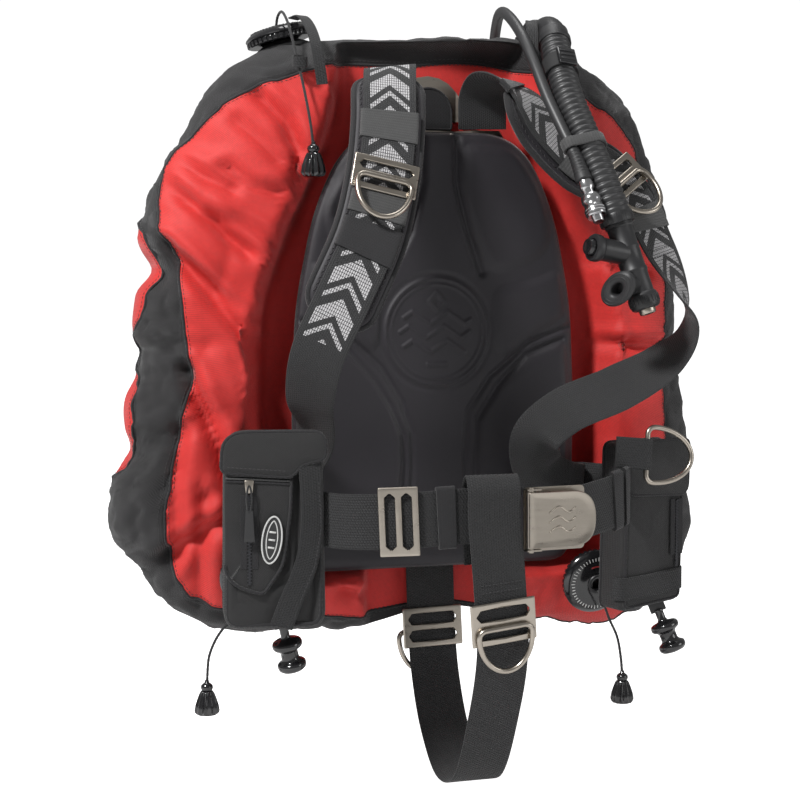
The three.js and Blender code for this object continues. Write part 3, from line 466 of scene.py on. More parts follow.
red_cloth = cloth("red_coated_nylon", (0.62, 0.022, 0.018), 0.0010, roughness=0.62, sheen=0.15,
    depth=0.00015, amount=0.12, patch=0.09)
black_cloth = cloth("black_ballistic_nylon", (0.016, 0.015, 0.016), 0.0013, roughness=0.72, sheen=0.16,
    depth=0.0006, puckers=1.8)
pocket_cloth = cloth("pocket_nylon", (0.0135, 0.013, 0.0135), 0.0011, roughness=0.70, sheen=0.16,
    depth=0.0005, uv=False, puckers=2.5)
webbing = cloth("black_webbing", (0.014, 0.014, 0.015), 0.0024, stretch=0.55, roughness=0.75, sheen=0.12,
    depth=0.0011, amount=0.25)
binding = cloth("binding_tape", (0.011, 0.0105, 0.012), 0.0012, stretch=2.0, roughness=0.8, depth=0.0003)
elastic = cloth("grey_elastic", (0.055, 0.055, 0.055), 0.0009, stretch=3.0, roughness=0.75, depth=0.0003)
pad_cloth = cloth("moulded_pad_cloth", (0.0125, 0.0100, 0.0145), 0.0006, roughness=0.55, sheen=0.35,
    depth=0.00005, amount=0.18, uv=False)
lining = cloth("pad_lining", (0.011, 0.0105, 0.012), 0.0016, roughness=0.85, depth=0.0003, uv=False)
thread = smooth("stitch_thread", (0.045, 0.043, 0.045), 0.7)
steel = smooth("brushed_stainless", (0.40, 0.36, 0.31), 0.30, metallic=1.0, amount=0.2, grain=0.0012,
    depth=0.00003, stretch=(1, 1, 6))
chrome = smooth("polished_chrome", (0.55, 0.55, 0.56), 0.20, metallic=1.0, amount=0.1, grain=0.004,
    depth=0.000005)
gloss = smooth("gloss_black_plastic", (0.010, 0.010, 0.011), 0.16, coat=0.5, amount=0.1, depth=0.00002)
matte = smooth("moulded_black_plastic", (0.016, 0.016, 0.017), 0.42, amount=0.2, depth=0.00006)
rubber = smooth("satin_rubber", (0.018, 0.018, 0.019), 0.52, amount=0.2, depth=0.00008)
hose_rubber = smooth("hose_rubber", (0.026, 0.026, 0.027), 0.42, amount=0.2, depth=0.00006)
label_rubber = smooth("pale_label_rubber", (0.50, 0.50, 0.49), 0.55, amount=0.1)
zip_metal = smooth("dark_zip", (0.05, 0.05, 0.055), 0.35, metallic=0.6)
warning_red = smooth("dark_red_print", (0.20, 0.012, 0.012), 0.4)
bladder_film = smooth("bladder_film", (0.09, 0.10, 0.11), 0.4)
print(len(bpy.data.materials), "materials")

# %% [markdown]
# The shoulder webbing carries a woven pattern in pale thread. The real pattern is replaced by plain
# chevrons and bars. It is drawn from the strap's own UV map, which is in metres: u runs across the strap
# and v along it, so the pattern bends with the strap.

# %% Patterned webbing
def patterned_webbing(name, first, last):
    made, tree, shader = principled(name, Sheen_Weight=0.15, Sheen_Roughness=0.4)
    coordinates = node(tree, "TexCoord")
    uv = node(tree, "SeparateXYZ", {"Vector": coordinates.outputs["UV"]})
    u, v = uv.outputs[0], uv.outputs[1]
    lean = math_node(tree, "MULTIPLY", math_node(tree, "ABSOLUTE", u), 0.9)
    slanted = math_node(tree, "SUBTRACT", v, lean)
    phase = math_node(tree, "FRACT", math_node(tree, "DIVIDE", slanted, 0.040))
    bar = math_node(tree, "LESS_THAN", math_node(tree, "ABSOLUTE",
        math_node(tree, "SUBTRACT", phase, 0.35)), 0.21)
    thin = math_node(tree, "LESS_THAN", math_node(tree, "ABSOLUTE",
        math_node(tree, "SUBTRACT", phase, 0.80)), 0.07)
    inside = math_node(tree, "LESS_THAN", math_node(tree, "ABSOLUTE", u), 0.0185)
    after = math_node(tree, "GREATER_THAN", v, first)
    before = math_node(tree, "LESS_THAN", v, last)
    mask = math_node(tree, "MAXIMUM", bar, thin)
    for limit in (inside, after, before):
        mask = math_node(tree, "MULTIPLY", mask, limit)
    rows = math_node(tree, "FRACT", math_node(tree, "DIVIDE", u, 0.0021))
    gap = math_node(tree, "GREATER_THAN", rows, 0.22)
    ticks = math_node(tree, "GREATER_THAN", math_node(tree, "FRACT", math_node(tree, "DIVIDE", v, 0.0032)),
        0.16)
    mask = math_node(tree, "MULTIPLY", mask, math_node(tree, "MULTIPLY", gap, ticks))
    weave = group_node(tree, threads, {"Vector": coordinates.outputs["UV"], "Pitch": 0.0021,
        "Stretch": 0.55})
    colour = node(tree, "Mix", data_type="RGBA")
    tree.links.new(mask, colour.inputs["Factor"])
    colour.inputs["A"].default_value = (0.017, 0.017, 0.018, 1)
    colour.inputs["B"].default_value = (0.52, 0.51, 0.52, 1)
    look = group_node(tree, tone, {"Vector": coordinates.outputs["Object"],
        "Color": colour.outputs["Result"], "Painted Shade": weave.outputs["Painted Shade"], "Roughness": 0.72,
        "Patch Size": 0.04, "Amount": 0.2, "Grain Size": 0.004})
    tree.links.new(look.outputs["Color"], shader.inputs["Base Color"])
    tree.links.new(look.outputs["Roughness"], shader.inputs["Roughness"])
    height = math_node(tree, "ADD", weave.outputs["Height"], math_node(tree, "MULTIPLY", mask, 0.6))
    bump = node(tree, "Bump", {"Height": height, "Distance": 0.0006, "Strength": 0.7})
    tree.links.new(bump.outputs[0], shader.inputs["Normal"])
    return made


floor_paint = smooth("pale_floor", (0.90, 0.90, 0.90), 0.9)
# the paper floor looks as white as the backdrop, and adds no light of its own to the model
floor_rays = node(floor_paint.node_tree, "LightPath")
floor_shader = floor_paint.node_tree.nodes["Principled BSDF"]
floor_shader.inputs["Emission Color"].default_value = (1.0, 1.0, 1.0, 1.0)
floor_paint.node_tree.links.new(math_node(floor_paint.node_tree, "MULTIPLY",
    floor_rays.outputs["Is Camera Ray"], 1.0), floor_shader.inputs["Emission Strength"])
floor.data.materials.append(floor_paint)
print("patterned webbing recipe ready")

# %% [markdown]
# The air cell is a ring of cloth, sewn from a front panel, a black gusset round the rim and a back panel.
# Its shape follows the CAD skin: a rim outline, an oval hole for the cylinder, and a swollen section
# between them that stays flat where the plate and pad lie on it. A grid of points written in code suits
# it better than a primitive, because the seams have to run along the grid's own rows.

# %% Air cell: the skin
cell_outline = [(-20, 283), (-185, 256), (-272, 128), (-291, 10), (-302, -100), (-314, -200), (-238, -286),
    (-95, -305), (16, -286), (120, -305), (228, -308), (298, -215), (278, -45), (266, 92), (212, 232),
    (105, 287)]
front_swell, rear_swell, rim_middle = 58.0, 92.0, 14.0
hole_half, hole_high = 62.0, 160.0
pad_half, pad_top, pad_bottom, plate_top = 145.0, 188.0, -238.0, 246.0
web_half = 25.0


def ramp(x, low, high):
    t = np.clip((x - low) / (high - low), 0, 1)
    return t * t * (3 - 2 * t)


def free_share(x, z):
    """0 where the plate, pad or crotch webbing holds the cell flat, and 1 where it swells freely."""
    narrowing = ramp(z, -20, pad_top + 60)
    half = pad_half + (65.0 - pad_half) * narrowing
    beside_pad = np.maximum(np.maximum(np.abs(x) - half, z - plate_top), pad_bottom - z + 32)
    beside_web = np.where(z < -76, np.abs(x) - web_half - 12, 1e6)
    return ramp(np.minimum(beside_pad, beside_web), 20, 54)


def cell_points(turns, angles):
    """Points of the cell's skin in millimetres, one row for each turn around the ring."""
    rim = curve([(x, 0, z) for x, z in cell_outline], turns, closed=True)
    around = np.arctan2(rim[:, 2] / hole_high, rim[:, 0] / hole_half)
    hole = np.stack([hole_half * np.cos(around), 0 * around, hole_high * np.sin(around)], 1)
    middle = (rim + hole) / 2
    reach = np.linalg.norm(rim - hole, axis=1)[:, None]
    out = (rim - hole) / reach
    c, s = np.cos(angles), np.sin(angles)
    across = reach / 2 * np.sign(c) * np.abs(c) ** 0.85
    p = middle[:, None] + out[:, None] * across[..., None]
    rest = 1.1 + (rim_middle - 1.1) * (c + 1) / 2
    swell = np.where(s > 0, front_swell, rear_swell)
    y = rest - swell * np.sign(s) * np.abs(s) ** 0.85
    forward = 1.0 - (front_swell + 1.0) * free_share(p[..., 0], p[..., 2])
    p[..., 1] = np.maximum(y, forward)
    return p


# The seams wander round the rim, so each is a list of (turn, angle in degrees).
front_seam = [(0, 60), (.025, 50), (.056, 50), (.075, 40), (.094, 26), (.106, 12), (.116, 9), (.131, 20),
    (.156, 42), (.175, 50), (.206, 56), (.225, 60), (.256, 55), (.3, 56), (.325, 48), (.344, 38),
    (.362, 32), (.388, 40), (.431, 42), (.475, 34), (.5, 28), (.569, 12), (.612, 12), (.631, 32), (.65, 50),
    (.688, 62), (.731, 56), (.781, 46), (.825, 44), (.85, 44), (.888, 54), (.931, 56)]
rear_seam = [(0, -30), (.1, -30), (.135, -20), (.148, 8), (.165, 26), (.188, 16), (.203, -14), (.214, -10),
    (.226, 14), (.245, 20), (.266, 8), (.285, -20), (.4, -32), (.6, -32), (.8, -30), (.9, -30)]


def around_ring(table, turns):
    t, value = np.array(table, float).T
    return np.radians(np.interp(turns, np.r_[t - 1, t, t + 1], np.r_[value, value, value]))


turn_count, rear_rows, rim_rows, front_rows = 420, 34, 24, 56
turns = np.arange(turn_count) / turn_count
front_angle, rear_angle = around_ring(front_seam, turns), around_ring(rear_seam, turns)
rows = [np.linspace(a, b, n, endpoint=last) for a, b, n, last in ((-math.pi + 0 * turns, rear_angle,
    rear_rows, False), (rear_angle, front_angle, rim_rows, False),
    (front_angle, math.pi + 0 * turns, front_rows + 1, True))]
angles = np.vstack(rows).T
cell_skin = cell_points(turns, angles)
first_rim, first_front = rear_rows, rear_rows + rim_rows
print("air cell grid", cell_skin.shape, "seams at rows", first_rim, first_front)

# %% [markdown]
# A full cell is never smooth. Its seams gather the cloth into short puckers, its sides are pulled in
# where inner tabs hold the panels, and long creases run from those tabs across the front. Each crease is
# a line with a depth and a width: it sinks along the line and stands a little proud beside it.

# %% Air cell: creases, puckers and pinches
creases = [(11, 9, [(-276, 148), (-246, 119), (-211, 87), (-190, 70)]),
    (7, 8, [(-261, 163), (-235, 145), (-205, 130)]), (15, 9, [(-268, 78), (-233, 40), (-202, 0),
    (-176, -27)]), (6, 8, [(-249, 61), (-214, 30), (-179, 5)]),
    (9, 9, [(-177, 218), (-155, 197), (-141, 167), (-145, 130)]),
    (5, 8, [(-199, 195), (-178, 175), (-161, 157)]), (5, 8, [(-211, 151), (-186, 133), (-162, 128)]),
    (13, 10, [(-252, -40), (-234, -81), (-219, -119), (-206, -170)]),
    (10, 10, [(-270, -219), (-240, -196), (-206, -180)]), (5, 10,
    [(-235, -162), (-240, -218), (-236, -261)]), (5, 10, [(-258, -95), (-262, -161), (-259, -217)]),
    (8, 12, [(-191, -2), (-180, -49), (-184, -97)]), (4, 8, [(-224, 105), (-200, 99), (-172, 82)]),
    (9, 8, [(139, -5), (177, -20), (227, -21), (255, -30)]), (9, 8, [(156, -70), (189, -68), (233, -57)]),
    (8, 8, [(133, 94), (166, 65), (226, 55)]), (7, 8, [(124, 183), (167, 174), (217, 135)]),
    (5, 8, [(-99, -258), (-47, -271), (-6, -271)]), (5, 8, [(38, 251), (70, 223), (102, 214)]),
    (5, 9, [(-110, 235), (-92, 222), (-80, 205)])]
pinches = [(.098, .008, 7), (.163, .009, 17), (.206, .007, 11), (.219, .008, 9), (.262, .010, 11),
    (.335, .012, 6), (.50, .012, 9), (.62, .010, 6), (.70, .012, 7), (.76, .010, 6), (.85, .012, 6),
    (.965, .012, 5)]


def to_polyline(x, z, line):
    line = np.array(line, float)
    best, side = np.full(x.shape, 1e9), np.zeros(x.shape)
    for a, b in zip(line[:-1], line[1:]):
        d = b - a
        t = np.clip(((x - a[0]) * d[0] + (z - a[1]) * d[1]) / (d @ d), 0, 1)
        dx, dz = x - a[0] - t * d[0], z - a[1] - t * d[1]
        gap = np.hypot(dx, dz)
        side = np.where(gap < best, np.sign(d[0] * dz - d[1] * dx), side)
        best = np.minimum(best, gap)
    return best, side


def smooth_noise(points, size, seed):
    shift = Vector((seed * 7.1, seed * 3.3, seed * 5.7))
    flat = points.reshape(-1, 3) / size
    return np.array([noise.noise(Vector(p) + shift) for p in flat]).reshape(points.shape[:-1])


def crease_depth(x, z):
    total = np.zeros(x.shape)
    for depth, width, line in creases:
        gap, side = to_polyline(x, z, line)
        total -= 1.45 * depth * np.exp(-(gap / (0.72 * width)) ** 1.5)
        total += 0.5 * depth * np.exp(-((gap - 1.5 * width) / (0.8 * width)) ** 2) * (side > 0)
    return np.maximum(total, -14.0)


def seam_puckers(turns, angles, seam, seed):
    """Short gathers that stand square to a seam and fade out over about 3 cm of cloth."""
    fade = np.exp(-np.abs(angles - seam[:, None]) / 0.16)
    wave = smooth_noise(np.stack([turns * 190, 0 * turns, 0 * turns + seed], 1), 1.0, seed)
    fine = smooth_noise(np.stack([turns * 420, 0 * turns, 0 * turns + seed], 1), 1.0, seed + 2)
    return (2.6 * wave + 1.2 * fine)[:, None] * fade


def relief(turns, angles, points):
    x, z = points[..., 0], points[..., 2]
    front = ramp(np.degrees(angles), 10, 45)
    free = np.where(np.sin(angles) > 0, free_share(x, z), 1.0) * (1 - ramp(np.abs(np.degrees(angles)), 140,
        172))
    d = crease_depth(x, z) * front
    d += seam_puckers(turns, angles, front_angle, 1) + seam_puckers(turns, angles, rear_angle, 5)
    near_rim = np.exp(-(np.degrees(angles) / 55) ** 2)
    for turn, width, depth in pinches:
        off = (turns - turn + 0.5) % 1.0 - 0.5
        d -= depth * np.exp(-(off / width) ** 2)[:, None] * near_rim
    d += 3.6 * smooth_noise(points, 70.0, 2) + 1.6 * smooth_noise(points, 26.0, 4)
    # the black gusset is the loosest cloth, so it wrinkles most
    gusset = (angles < front_angle[:, None]) & (angles > rear_angle[:, None])
    folds = 1 - 2.4 * np.abs(smooth_noise(points * np.array((0.8, 0.6, 1.3)), 24.0, 8))
    d += np.where(gusset, 2.2 * smooth_noise(points, 15.0, 9) - 3.0 * np.clip(folds, 0, 1) ** 2, 0.0)
    ridges = 1 - np.abs(smooth_noise(points * np.array((1.0, 1.0, 0.55)), 46.0, 6)) * 2.2
    d -= 3.4 * np.clip(ridges, 0, 1) ** 3 * ramp(np.degrees(angles), 10, 60)
    return np.clip(d * free, -26.0, 7.0)


def grid_normals(points):
    along = np.roll(points, -1, 0) - np.roll(points, 1, 0)
    across = np.gradient(points, axis=1)
    n = unit(np.cross(along, across))
    centre = points.mean(1, keepdims=True)
    return n * np.sign(np.median(np.sum(n * (points - centre), -1)))


cell_normal = grid_normals(cell_skin)
smooth_skin, smooth_normal = cell_skin * MM, cell_normal
cell_skin = (cell_skin + cell_normal * relief(turns, angles, cell_skin)[..., None]) * MM
cell_normal = grid_normals(cell_skin)
print("deepest point", round(float(cell_skin[..., 1].min()), 3), "rear",
    round(float(cell_skin[..., 1].max()), 3))

# %% [markdown]
# The grid is cut along the seams into three panels, and Solidify gives each its cloth thickness, inwards.
# The bladder that holds the air is the same grid before its creases, flattened towards the middle of each
# section, because it lies slack in a part-filled cell.

# %% Air cell: panels and bladder
def ring_panel(points, normals, wall):
    """A closed band of cloth from grid rows, with its UV map in metres, thickened inwards."""
    n, m = points.shape[:2]
    u = np.concatenate([np.zeros((n, 1)), np.cumsum(np.linalg.norm(np.diff(points, axis=1), axis=2), 1)], 1)
    loop = np.vstack([points, points[:1]]).mean(1)
    v = np.r_[0, np.cumsum(np.linalg.norm(np.diff(loop, axis=0), axis=1))]
    face_normal = np.cross(points[1, m // 2] - points[0, m // 2], points[0, m // 2 + 1] - points[0, m // 2])
    flip = face_normal @ normals[0, m // 2] > 0
    faces, uvs = [], []
    for i in range(n):
        k = (i + 1) % n
        for j in range(m - 1):
            face = [i * m + j, i * m + j + 1, k * m + j + 1, k * m + j]
            uv = [(u[i, j], v[i]), (u[i, j + 1], v[i]), (u[k, j + 1], v[i + 1]), (u[k, j], v[i + 1])]
            faces.append(face[::-1] if flip else face)
            uvs += uv[::-1] if flip else uv
    panel = mesh_piece(points.reshape(-1, 3), faces, uvs)
    solid = panel.modifiers.new("cloth", "SOLIDIFY")
    solid.thickness = wall
    solid.offset = -1
    apply_modifiers(panel)
    return panel


cell_front = finish(ring_panel(cell_skin[:, first_front:], cell_normal[:, first_front:], 0.0014),
    "cell_front_panel", red_cloth, replaces=("cell_shell",))
cell_gusset = finish(ring_panel(cell_skin[:, first_rim:first_front + 1],
    cell_normal[:, first_rim:first_front + 1], 0.0016), "cell_gusset", black_cloth)
cell_rear = finish(ring_panel(cell_skin[:, :first_rim + 1], cell_normal[:, :first_rim + 1], 0.0014),
    "cell_back_panel", red_cloth)
section_middle = smooth_skin.mean(1, keepdims=True)
drawn_in = section_middle + np.array((0.78, 0.25, 0.78)) * (smooth_skin - section_middle)
drawn_in[..., 1] += 0.6 * (0.035 - section_middle[..., 1])
drawn_in = drawn_in[::3, ::2]
bladder = finish(ring_panel(drawn_in, smooth_normal[::3, ::2], 0.0008), "air_bladder", bladder_film,
    replaces=("cell_bladder",))
for panel in (cell_front, cell_gusset, cell_rear, bladder):
    print(panel.name, len(panel.data.polygons), "faces")

# %% [markdown]
# Each seam is covered by a narrow bound edge with a row of stitches on both sides. A stitch is a short
# rounded bar that lies on the cloth, and one helper lays a row of them along any line.

# %% Seams and stitches
def stitch_row(places, normals, name, material, length=0.0030, pitch=0.0044, width=0.0007,
    body="harness", lean=0.0):
    """Short bars laid end to end along a line of points, each sunk halfway into the cloth."""
    p = np.asarray(places, float)
    reach = np.r_[0, np.cumsum(np.linalg.norm(np.diff(p, axis=0), axis=1))]
    count = int(reach[-1] / pitch)
    marks = (np.arange(count) + 0.5) * pitch
    at = np.stack([np.interp(marks, reach, p[:, k]) for k in range(3)], 1)
    ahead = np.stack([np.interp(marks + 0.001, reach, p[:, k]) for k in range(3)], 1)
    behind = np.stack([np.interp(marks - 0.001, reach, p[:, k]) for k in range(3)], 1)
    n = unit(np.stack([np.interp(marks, reach, np.asarray(normals)[:, k]) for k in range(3)], 1))
    t = unit(ahead - behind)
    side = unit(np.cross(n, t))
    t = unit(t + lean * side * np.where(np.arange(count) % 2, 1, -1)[:, None])
    side = unit(np.cross(n, t))
    shape = [(-.5, 0, 0), (-.3, .5, 0), (.3, .5, 0), (.5, 0, 0), (.3, -.5, 0), (-.3, -.5, 0), (-.3, 0, .5),
        (.3, 0, .5)]
    tris = [(0, 6, 1), (1, 6, 7, 2), (2, 7, 3), (3, 7, 4), (4, 7, 6, 5), (5, 6, 0), (0, 1, 2, 3, 4, 5)]
    points, faces = [], []
    for k in range(count):
        base = len(points)
        for a, b, c in shape:
            points.append(at[k] + t[k] * a * length + side[k] * b * width + n[k] * (c * width + 0.0001))
        faces += [tuple(base + i for i in face) for face in tris]
    piece = mesh_piece(points, faces)
    outward(piece)
    return finish(piece, name, material, body=body)


def closed_hose(points, radius, sides=8):
    p = np.vstack([points, points[:2]])
    t = unit(np.gradient(p, axis=0))[:-1]
    normal = np.cross(t[0], (0.3, 0.9, 0.2))
    rings = []
    for k in range(len(points)):
        normal = unit(normal - (normal @ t[k]) * t[k])
        other = np.cross(t[k], normal)
        a = np.linspace(0, 2 * math.pi, sides, endpoint=False)[:, None]
        rings.append(p[k] + radius * (np.cos(a) * normal + np.sin(a) * other))
    return skin(rings, closed=True)


def ring_line(row, shift=0.0, proud=0.0):
    """A line of points beside a seam, shift grid rows away from it."""
    k = int(math.floor(shift))
    w = shift - k
    line = cell_skin[:, row + k] * (1 - w) + cell_skin[:, row + k + 1] * w
    return line + cell_normal[:, row + k] * proud


for label, row, shifts in (("front", first_front, (-1.2, 0.9)), ("rear", first_rim, (-0.9, 1.2))):
    bound = closed_hose(ring_line(row, proud=-0.0002), 0.0014)
    finish(bound, f"cell_{label}_seam", binding)
    for k, shift in enumerate(shifts):
        line = ring_line(row, shift, 0.0002)
        stitch_row(np.vstack([line, line[:1]]), np.vstack([cell_normal[:, row], cell_normal[:1, row]]),
            f"cell_{label}_stitches_{k + 1}", thread)
print("seams and stitches done")

# %% [markdown]
# Five flexible runs leave the vest. Three limp shock cords each join a dump valve to its knob. One low-
# pressure hose comes from the first stage behind the cell, over its top, to the quick disconnect. One
# corrugated hose joins the elbow to the inflator. Each is a tube on the same curve as its CAD solid.

# %% Cords and hoses: routes
cord_routes = {"upper": [(-147, 25, 293), (-147, 20, 300), (-147, 2, 303), (-146, -18, 291),
    (-143, -40, 258), (-139, -58, 220), (-136, -68, 190), (-134, -70, 170)],
    "lower_right": [(-191, -66, -242), (-193, -74, -252), (-206, -78, -266), (-224, -76, -280),
    (-236, -74, -303), (-239, -74, -331)], "lower_left": [(160, -66, -266), (161, -74, -274),
    (167, -76, -292), (177, -74, -312), (182, -72, -332), (184, -72, -351)],}
hose_route = [(121, -32, 288), (117, -54, 262), (114, -86, 223), (120, -112, 183), (127, -136, 144),
    (134, -148, 115), (139, -152, 97)]
pressure_route = [(107, -147, 136), (104, -134, 158), (98, -113, 188), (92, -92, 218), (88, -64, 256),
    (86, -36, 286), (86, -2, 308), (92, 40, 318), (102, 82, 304), (110, 112, 270), (114, 123, 220),
    (114, 126, 160), (110, 126, 100), (106, 125, 50)]


def length_of(points):
    return float(np.linalg.norm(np.diff(points, axis=0), axis=1).sum())


def even(points, step):
    """The same line again, with its points a fixed step apart."""
    reach = np.r_[0, np.cumsum(np.linalg.norm(np.diff(points, axis=0), axis=1))]
    marks = np.linspace(0, reach[-1], max(int(round(reach[-1] / step)), 2) + 1)
    return np.stack([np.interp(marks, reach, points[:, k]) for k in range(3)], 1)


cord_cloth = cloth("shock_cord_sleeve", (0.013, 0.013, 0.014), 0.0007, roughness=0.7, depth=0.0002)
cord_ends = {}
for name, route in cord_routes.items():
    path = even(curve(np.array(route) * MM, np.linspace(0, 1, 200)), 0.0022)
    # the braid shows as a very slight swelling at each crossing
    swell = 0.0013 * (1 + 0.07 * np.cos(np.arange(len(path)) * math.pi))
    cord = finish(hose(path, swell, 12), f"shock_cord_{name}", cord_cloth,
        replaces=(f"dump_cord_{name}",))
    cord_ends[name] = path
    print(cord.name, round(length_of(path), 3), "m")

# %% [markdown]
# The corrugated hose is a row of round ribs with narrow valleys. Its radius follows a rounded wave along
# the run, so the ribs bend with the hose and stay square to it.

# %% Cords and hoses: corrugated and low-pressure hose
hose_path = even(curve(np.array(hose_route) * MM, np.linspace(0, 1, 400)), 0.00085)
reach = np.r_[0, np.cumsum(np.linalg.norm(np.diff(hose_path, axis=0), axis=1))]
rib_pitch, rib_depth = 0.0062, 0.0030
wave = np.abs(np.sin(math.pi * reach / rib_pitch)) ** 0.55
cuff = np.maximum(ramp(reach, 0.016, 0.012), 0) + ramp(reach, reach[-1] - 0.016, reach[-1] - 0.012)
hose_radius = np.where(cuff > 0.5, 0.0150, 0.0152 - rib_depth * (1 - wave))
corrugated = finish(hose(hose_path, hose_radius, 28), "corrugated_hose", hose_rubber,
    replaces=("inflator_hose",))
print("corrugated hose", round(length_of(hose_path), 3), "m,", len(hose_path), "rings")

pressure_path = even(curve(np.array(pressure_route) * MM, np.linspace(0, 1, 600)), 0.0030)
pressure_hose = finish(hose(pressure_path, 0.0055, 18), "low_pressure_hose", hose_rubber,
    replaces=("pressure_hose",))
print("low-pressure hose", round(length_of(pressure_path), 3), "m")


def tapered_sleeve(path, start, length, wide, narrow, name, reverse=False):
    """A strain relief: a short ribbed sleeve that tapers along a hose from its crimped end."""
    line = path[::-1] if reverse else path
    reach = np.r_[0, np.cumsum(np.linalg.norm(np.diff(line, axis=0), axis=1))]
    marks = np.linspace(start, start + length, 44)
    points = np.stack([np.interp(marks, reach, line[:, k]) for k in range(3)], 1)
    share = np.linspace(0, 1, 44)
    radius = wide + (narrow - wide) * share ** 0.8
    radius = radius - 0.0006 * (np.sin(share * math.pi * 18) < -0.1) * (share > 0.2) * (share < 0.95)
    sleeve = hose(points, radius, 20)
    return finish(sleeve, name, rubber)


tapered_sleeve(pressure_path, 0.001, 0.034, 0.0082, 0.0061, "hose_relief_front")
rear_relief = tapered_sleeve(pressure_path, 0.001, 0.034, 0.0082, 0.0061, "hose_relief_rear", reverse=True)

# %% [markdown]
# The back pad is one moulded cushion: foam pressed between two cloths, with raised panels, deep channels
# and a round badge in relief, and a bound edge. Its front is a height field, so the mould's shapes are
# added and taken away as sums, and its rear is a flat mesh. The badge carries plain shapes only.

# %% Back pad: outline and relief
pad_front, pad_rear = -42.2, -26.4


def rounded_line(points, corner, steps=7):
    """A closed outline whose corners are quadratic curves, corner long on each side."""
    p = np.asarray(points, float)
    out = []
    for k in range(len(p)):
        before, here, after = p[k - 1], p[k], p[(k + 1) % len(p)]
        r = corner[k] if hasattr(corner, "__len__") else corner
        a = here + (before - here) * min(r / np.linalg.norm(before - here), 0.5)
        b = here + (after - here) * min(r / np.linalg.norm(after - here), 0.5)
        for t in np.linspace(0, 1, steps):
            out.append(a * (1 - t) ** 2 + 2 * here * t * (1 - t) + b * t * t)
    return np.array(out)


pad_outline = [(-143, -238), (143, -238), (145, -76), (141, 20), (123, 110), (98, 165), (67, 188),
    (-67, 188), (-98, 165), (-123, 110), (-141, 20), (-145, -76)]
pad_edge = rounded_line(pad_outline, [24, 24, 30, 30, 30, 24, 24, 24, 24, 30, 30, 30])


def inside_distance(x, z, outline):
    """Distance to an outline, positive inside it."""
    p = np.asarray(outline, float)
    best = np.full(x.shape, 1e9)
    inside = np.zeros(x.shape, bool)
    for a, b in zip(p, np.roll(p, -1, 0)):
        d = b - a
        t = np.clip(((x - a[0]) * d[0] + (z - a[1]) * d[1]) / max(d @ d, 1e-9), 0, 1)
        best = np.minimum(best, np.hypot(x - a[0] - t * d[0], z - a[1] - t * d[1]))
        crosses = (a[1] > z) != (b[1] > z)
        with np.errstate(divide="ignore", invalid="ignore"):
            at = a[0] + (z - a[1]) * d[0] / (d[1] if d[1] else 1e-9)
        inside ^= crosses & (x < at)
    return np.where(inside, best, -best)


raised = [[(24, 178), (80, 175), (112, 128), (118, 78), (94, 60), (54, 50), (38, 82), (23, 122)],
    [(-84, 172), (-26, 180), (-21, 132), (-36, 83), (-60, 52), (-108, 68), (-117, 121)],
    [(58, 38), (100, 44), (128, 58), (134, 8), (96, -12), (66, -36), (54, -10)],
    [(-64, 40), (-104, 50), (-128, 66), (-134, 14), (-94, -6), (-66, -30), (-58, -4)],
    [(134, -14), (140, -76), (138, -205), (40, -210), (38, -168), (36, -98), (60, -60), (98, -30)],
    [(-134, -8), (-140, -76), (-138, -205), (-36, -210), (-36, -168), (-34, -102), (-44, -72), (-62, -42),
    (-94, -20)]]
channels = [(2.4, 3.4, [(-16, 182), (-16, 140), (-28, 92), (-50, 50)]),
    (2.4, 3.4, [(19, 182), (19, 140), (31, 92), (45, 52)]), (1.6, 2.6,
    [(137, -2), (96, -17), (54, -50), (31, -84), (28, -132), (32, -172), (34, -215)]),
    (1.6, 2.6, [(131, -14), (92, -29), (62, -60), (40, -94), (38, -134), (42, -172)]),
    (1.6, 2.6, [(-136, 6), (-92, -10), (-58, -40), (-38, -72), (-27, -104), (-26, -134), (-28, -172),
    (-30, -215)]), (1.6, 2.6, [(-132, -8), (-92, -23), (-66, -52), (-48, -80), (-37, -106), (-35, -134),
    (-38, -172)])]
badge_centre = np.array((-2.0, -6.0))
badge_bars = [(1.9, [(-34, 14), (-25, 20), (-16, 14), (-7, 8), (2, 14), (11, 20), (20, 14), (29, 8),
    (35, 12)]), (1.9, [(-38, 0), (-29, 6), (-20, 0), (-11, -6), (-2, 0), (7, 6), (16, 0), (25, -6),
    (34, 0)]), (1.9, [(-34, -14), (-25, -8), (-16, -14), (-7, -20), (2, -14), (11, -8), (20, -14),
    (29, -20)]), (2.6, [(0, 38), (7, 30), (0, 22), (-7, 30), (0, 38)]), (2.6, [(-9, -32), (9, -32)])]


def pad_height(x, z):
    """How far the front of the pad stands from its rear plane, in millimetres."""
    edge = inside_distance(x, z, pad_edge)
    full = pad_rear - pad_front - 4.0
    t = np.clip(edge / 13.0, 0, 1)
    h = 5.5 + (full - 5.5) * np.sqrt(np.clip(1 - (1 - t) ** 2, 0, 1))
    for outline in raised:
        within = inside_distance(x, z, rounded_line(outline, 14, 4))
        t = np.clip((within + 2.0) / 13.0, 0, 1)
        h += 3.4 * np.sin(t * math.pi / 2) ** 1.2 * ramp(edge, 2, 12)
    for depth, width, line in channels:
        gap, _ = to_polyline(x, z, line)
        h -= 1.7 * depth * np.exp(-(gap / (1.1 * width)) ** 2)
    bx, bz = x - badge_centre[0], z - badge_centre[1]
    r = np.hypot(bx, bz)
    for rise, middle, width in ((1.6, 52, 1.5), (1.2, 46.5, 1.1), (-1.0, 57, 2.4)):  # two rims and a groove
        h += rise * np.exp(-((r - middle) / width) ** 2)
    for width, line in badge_bars:
        gap, _ = to_polyline(bx, bz, line)
        h += 1.5 * np.exp(-(gap / width) ** 4) * (r < 44)
    return np.maximum(h, 4.5)


print("pad outline has", len(pad_edge), "points")

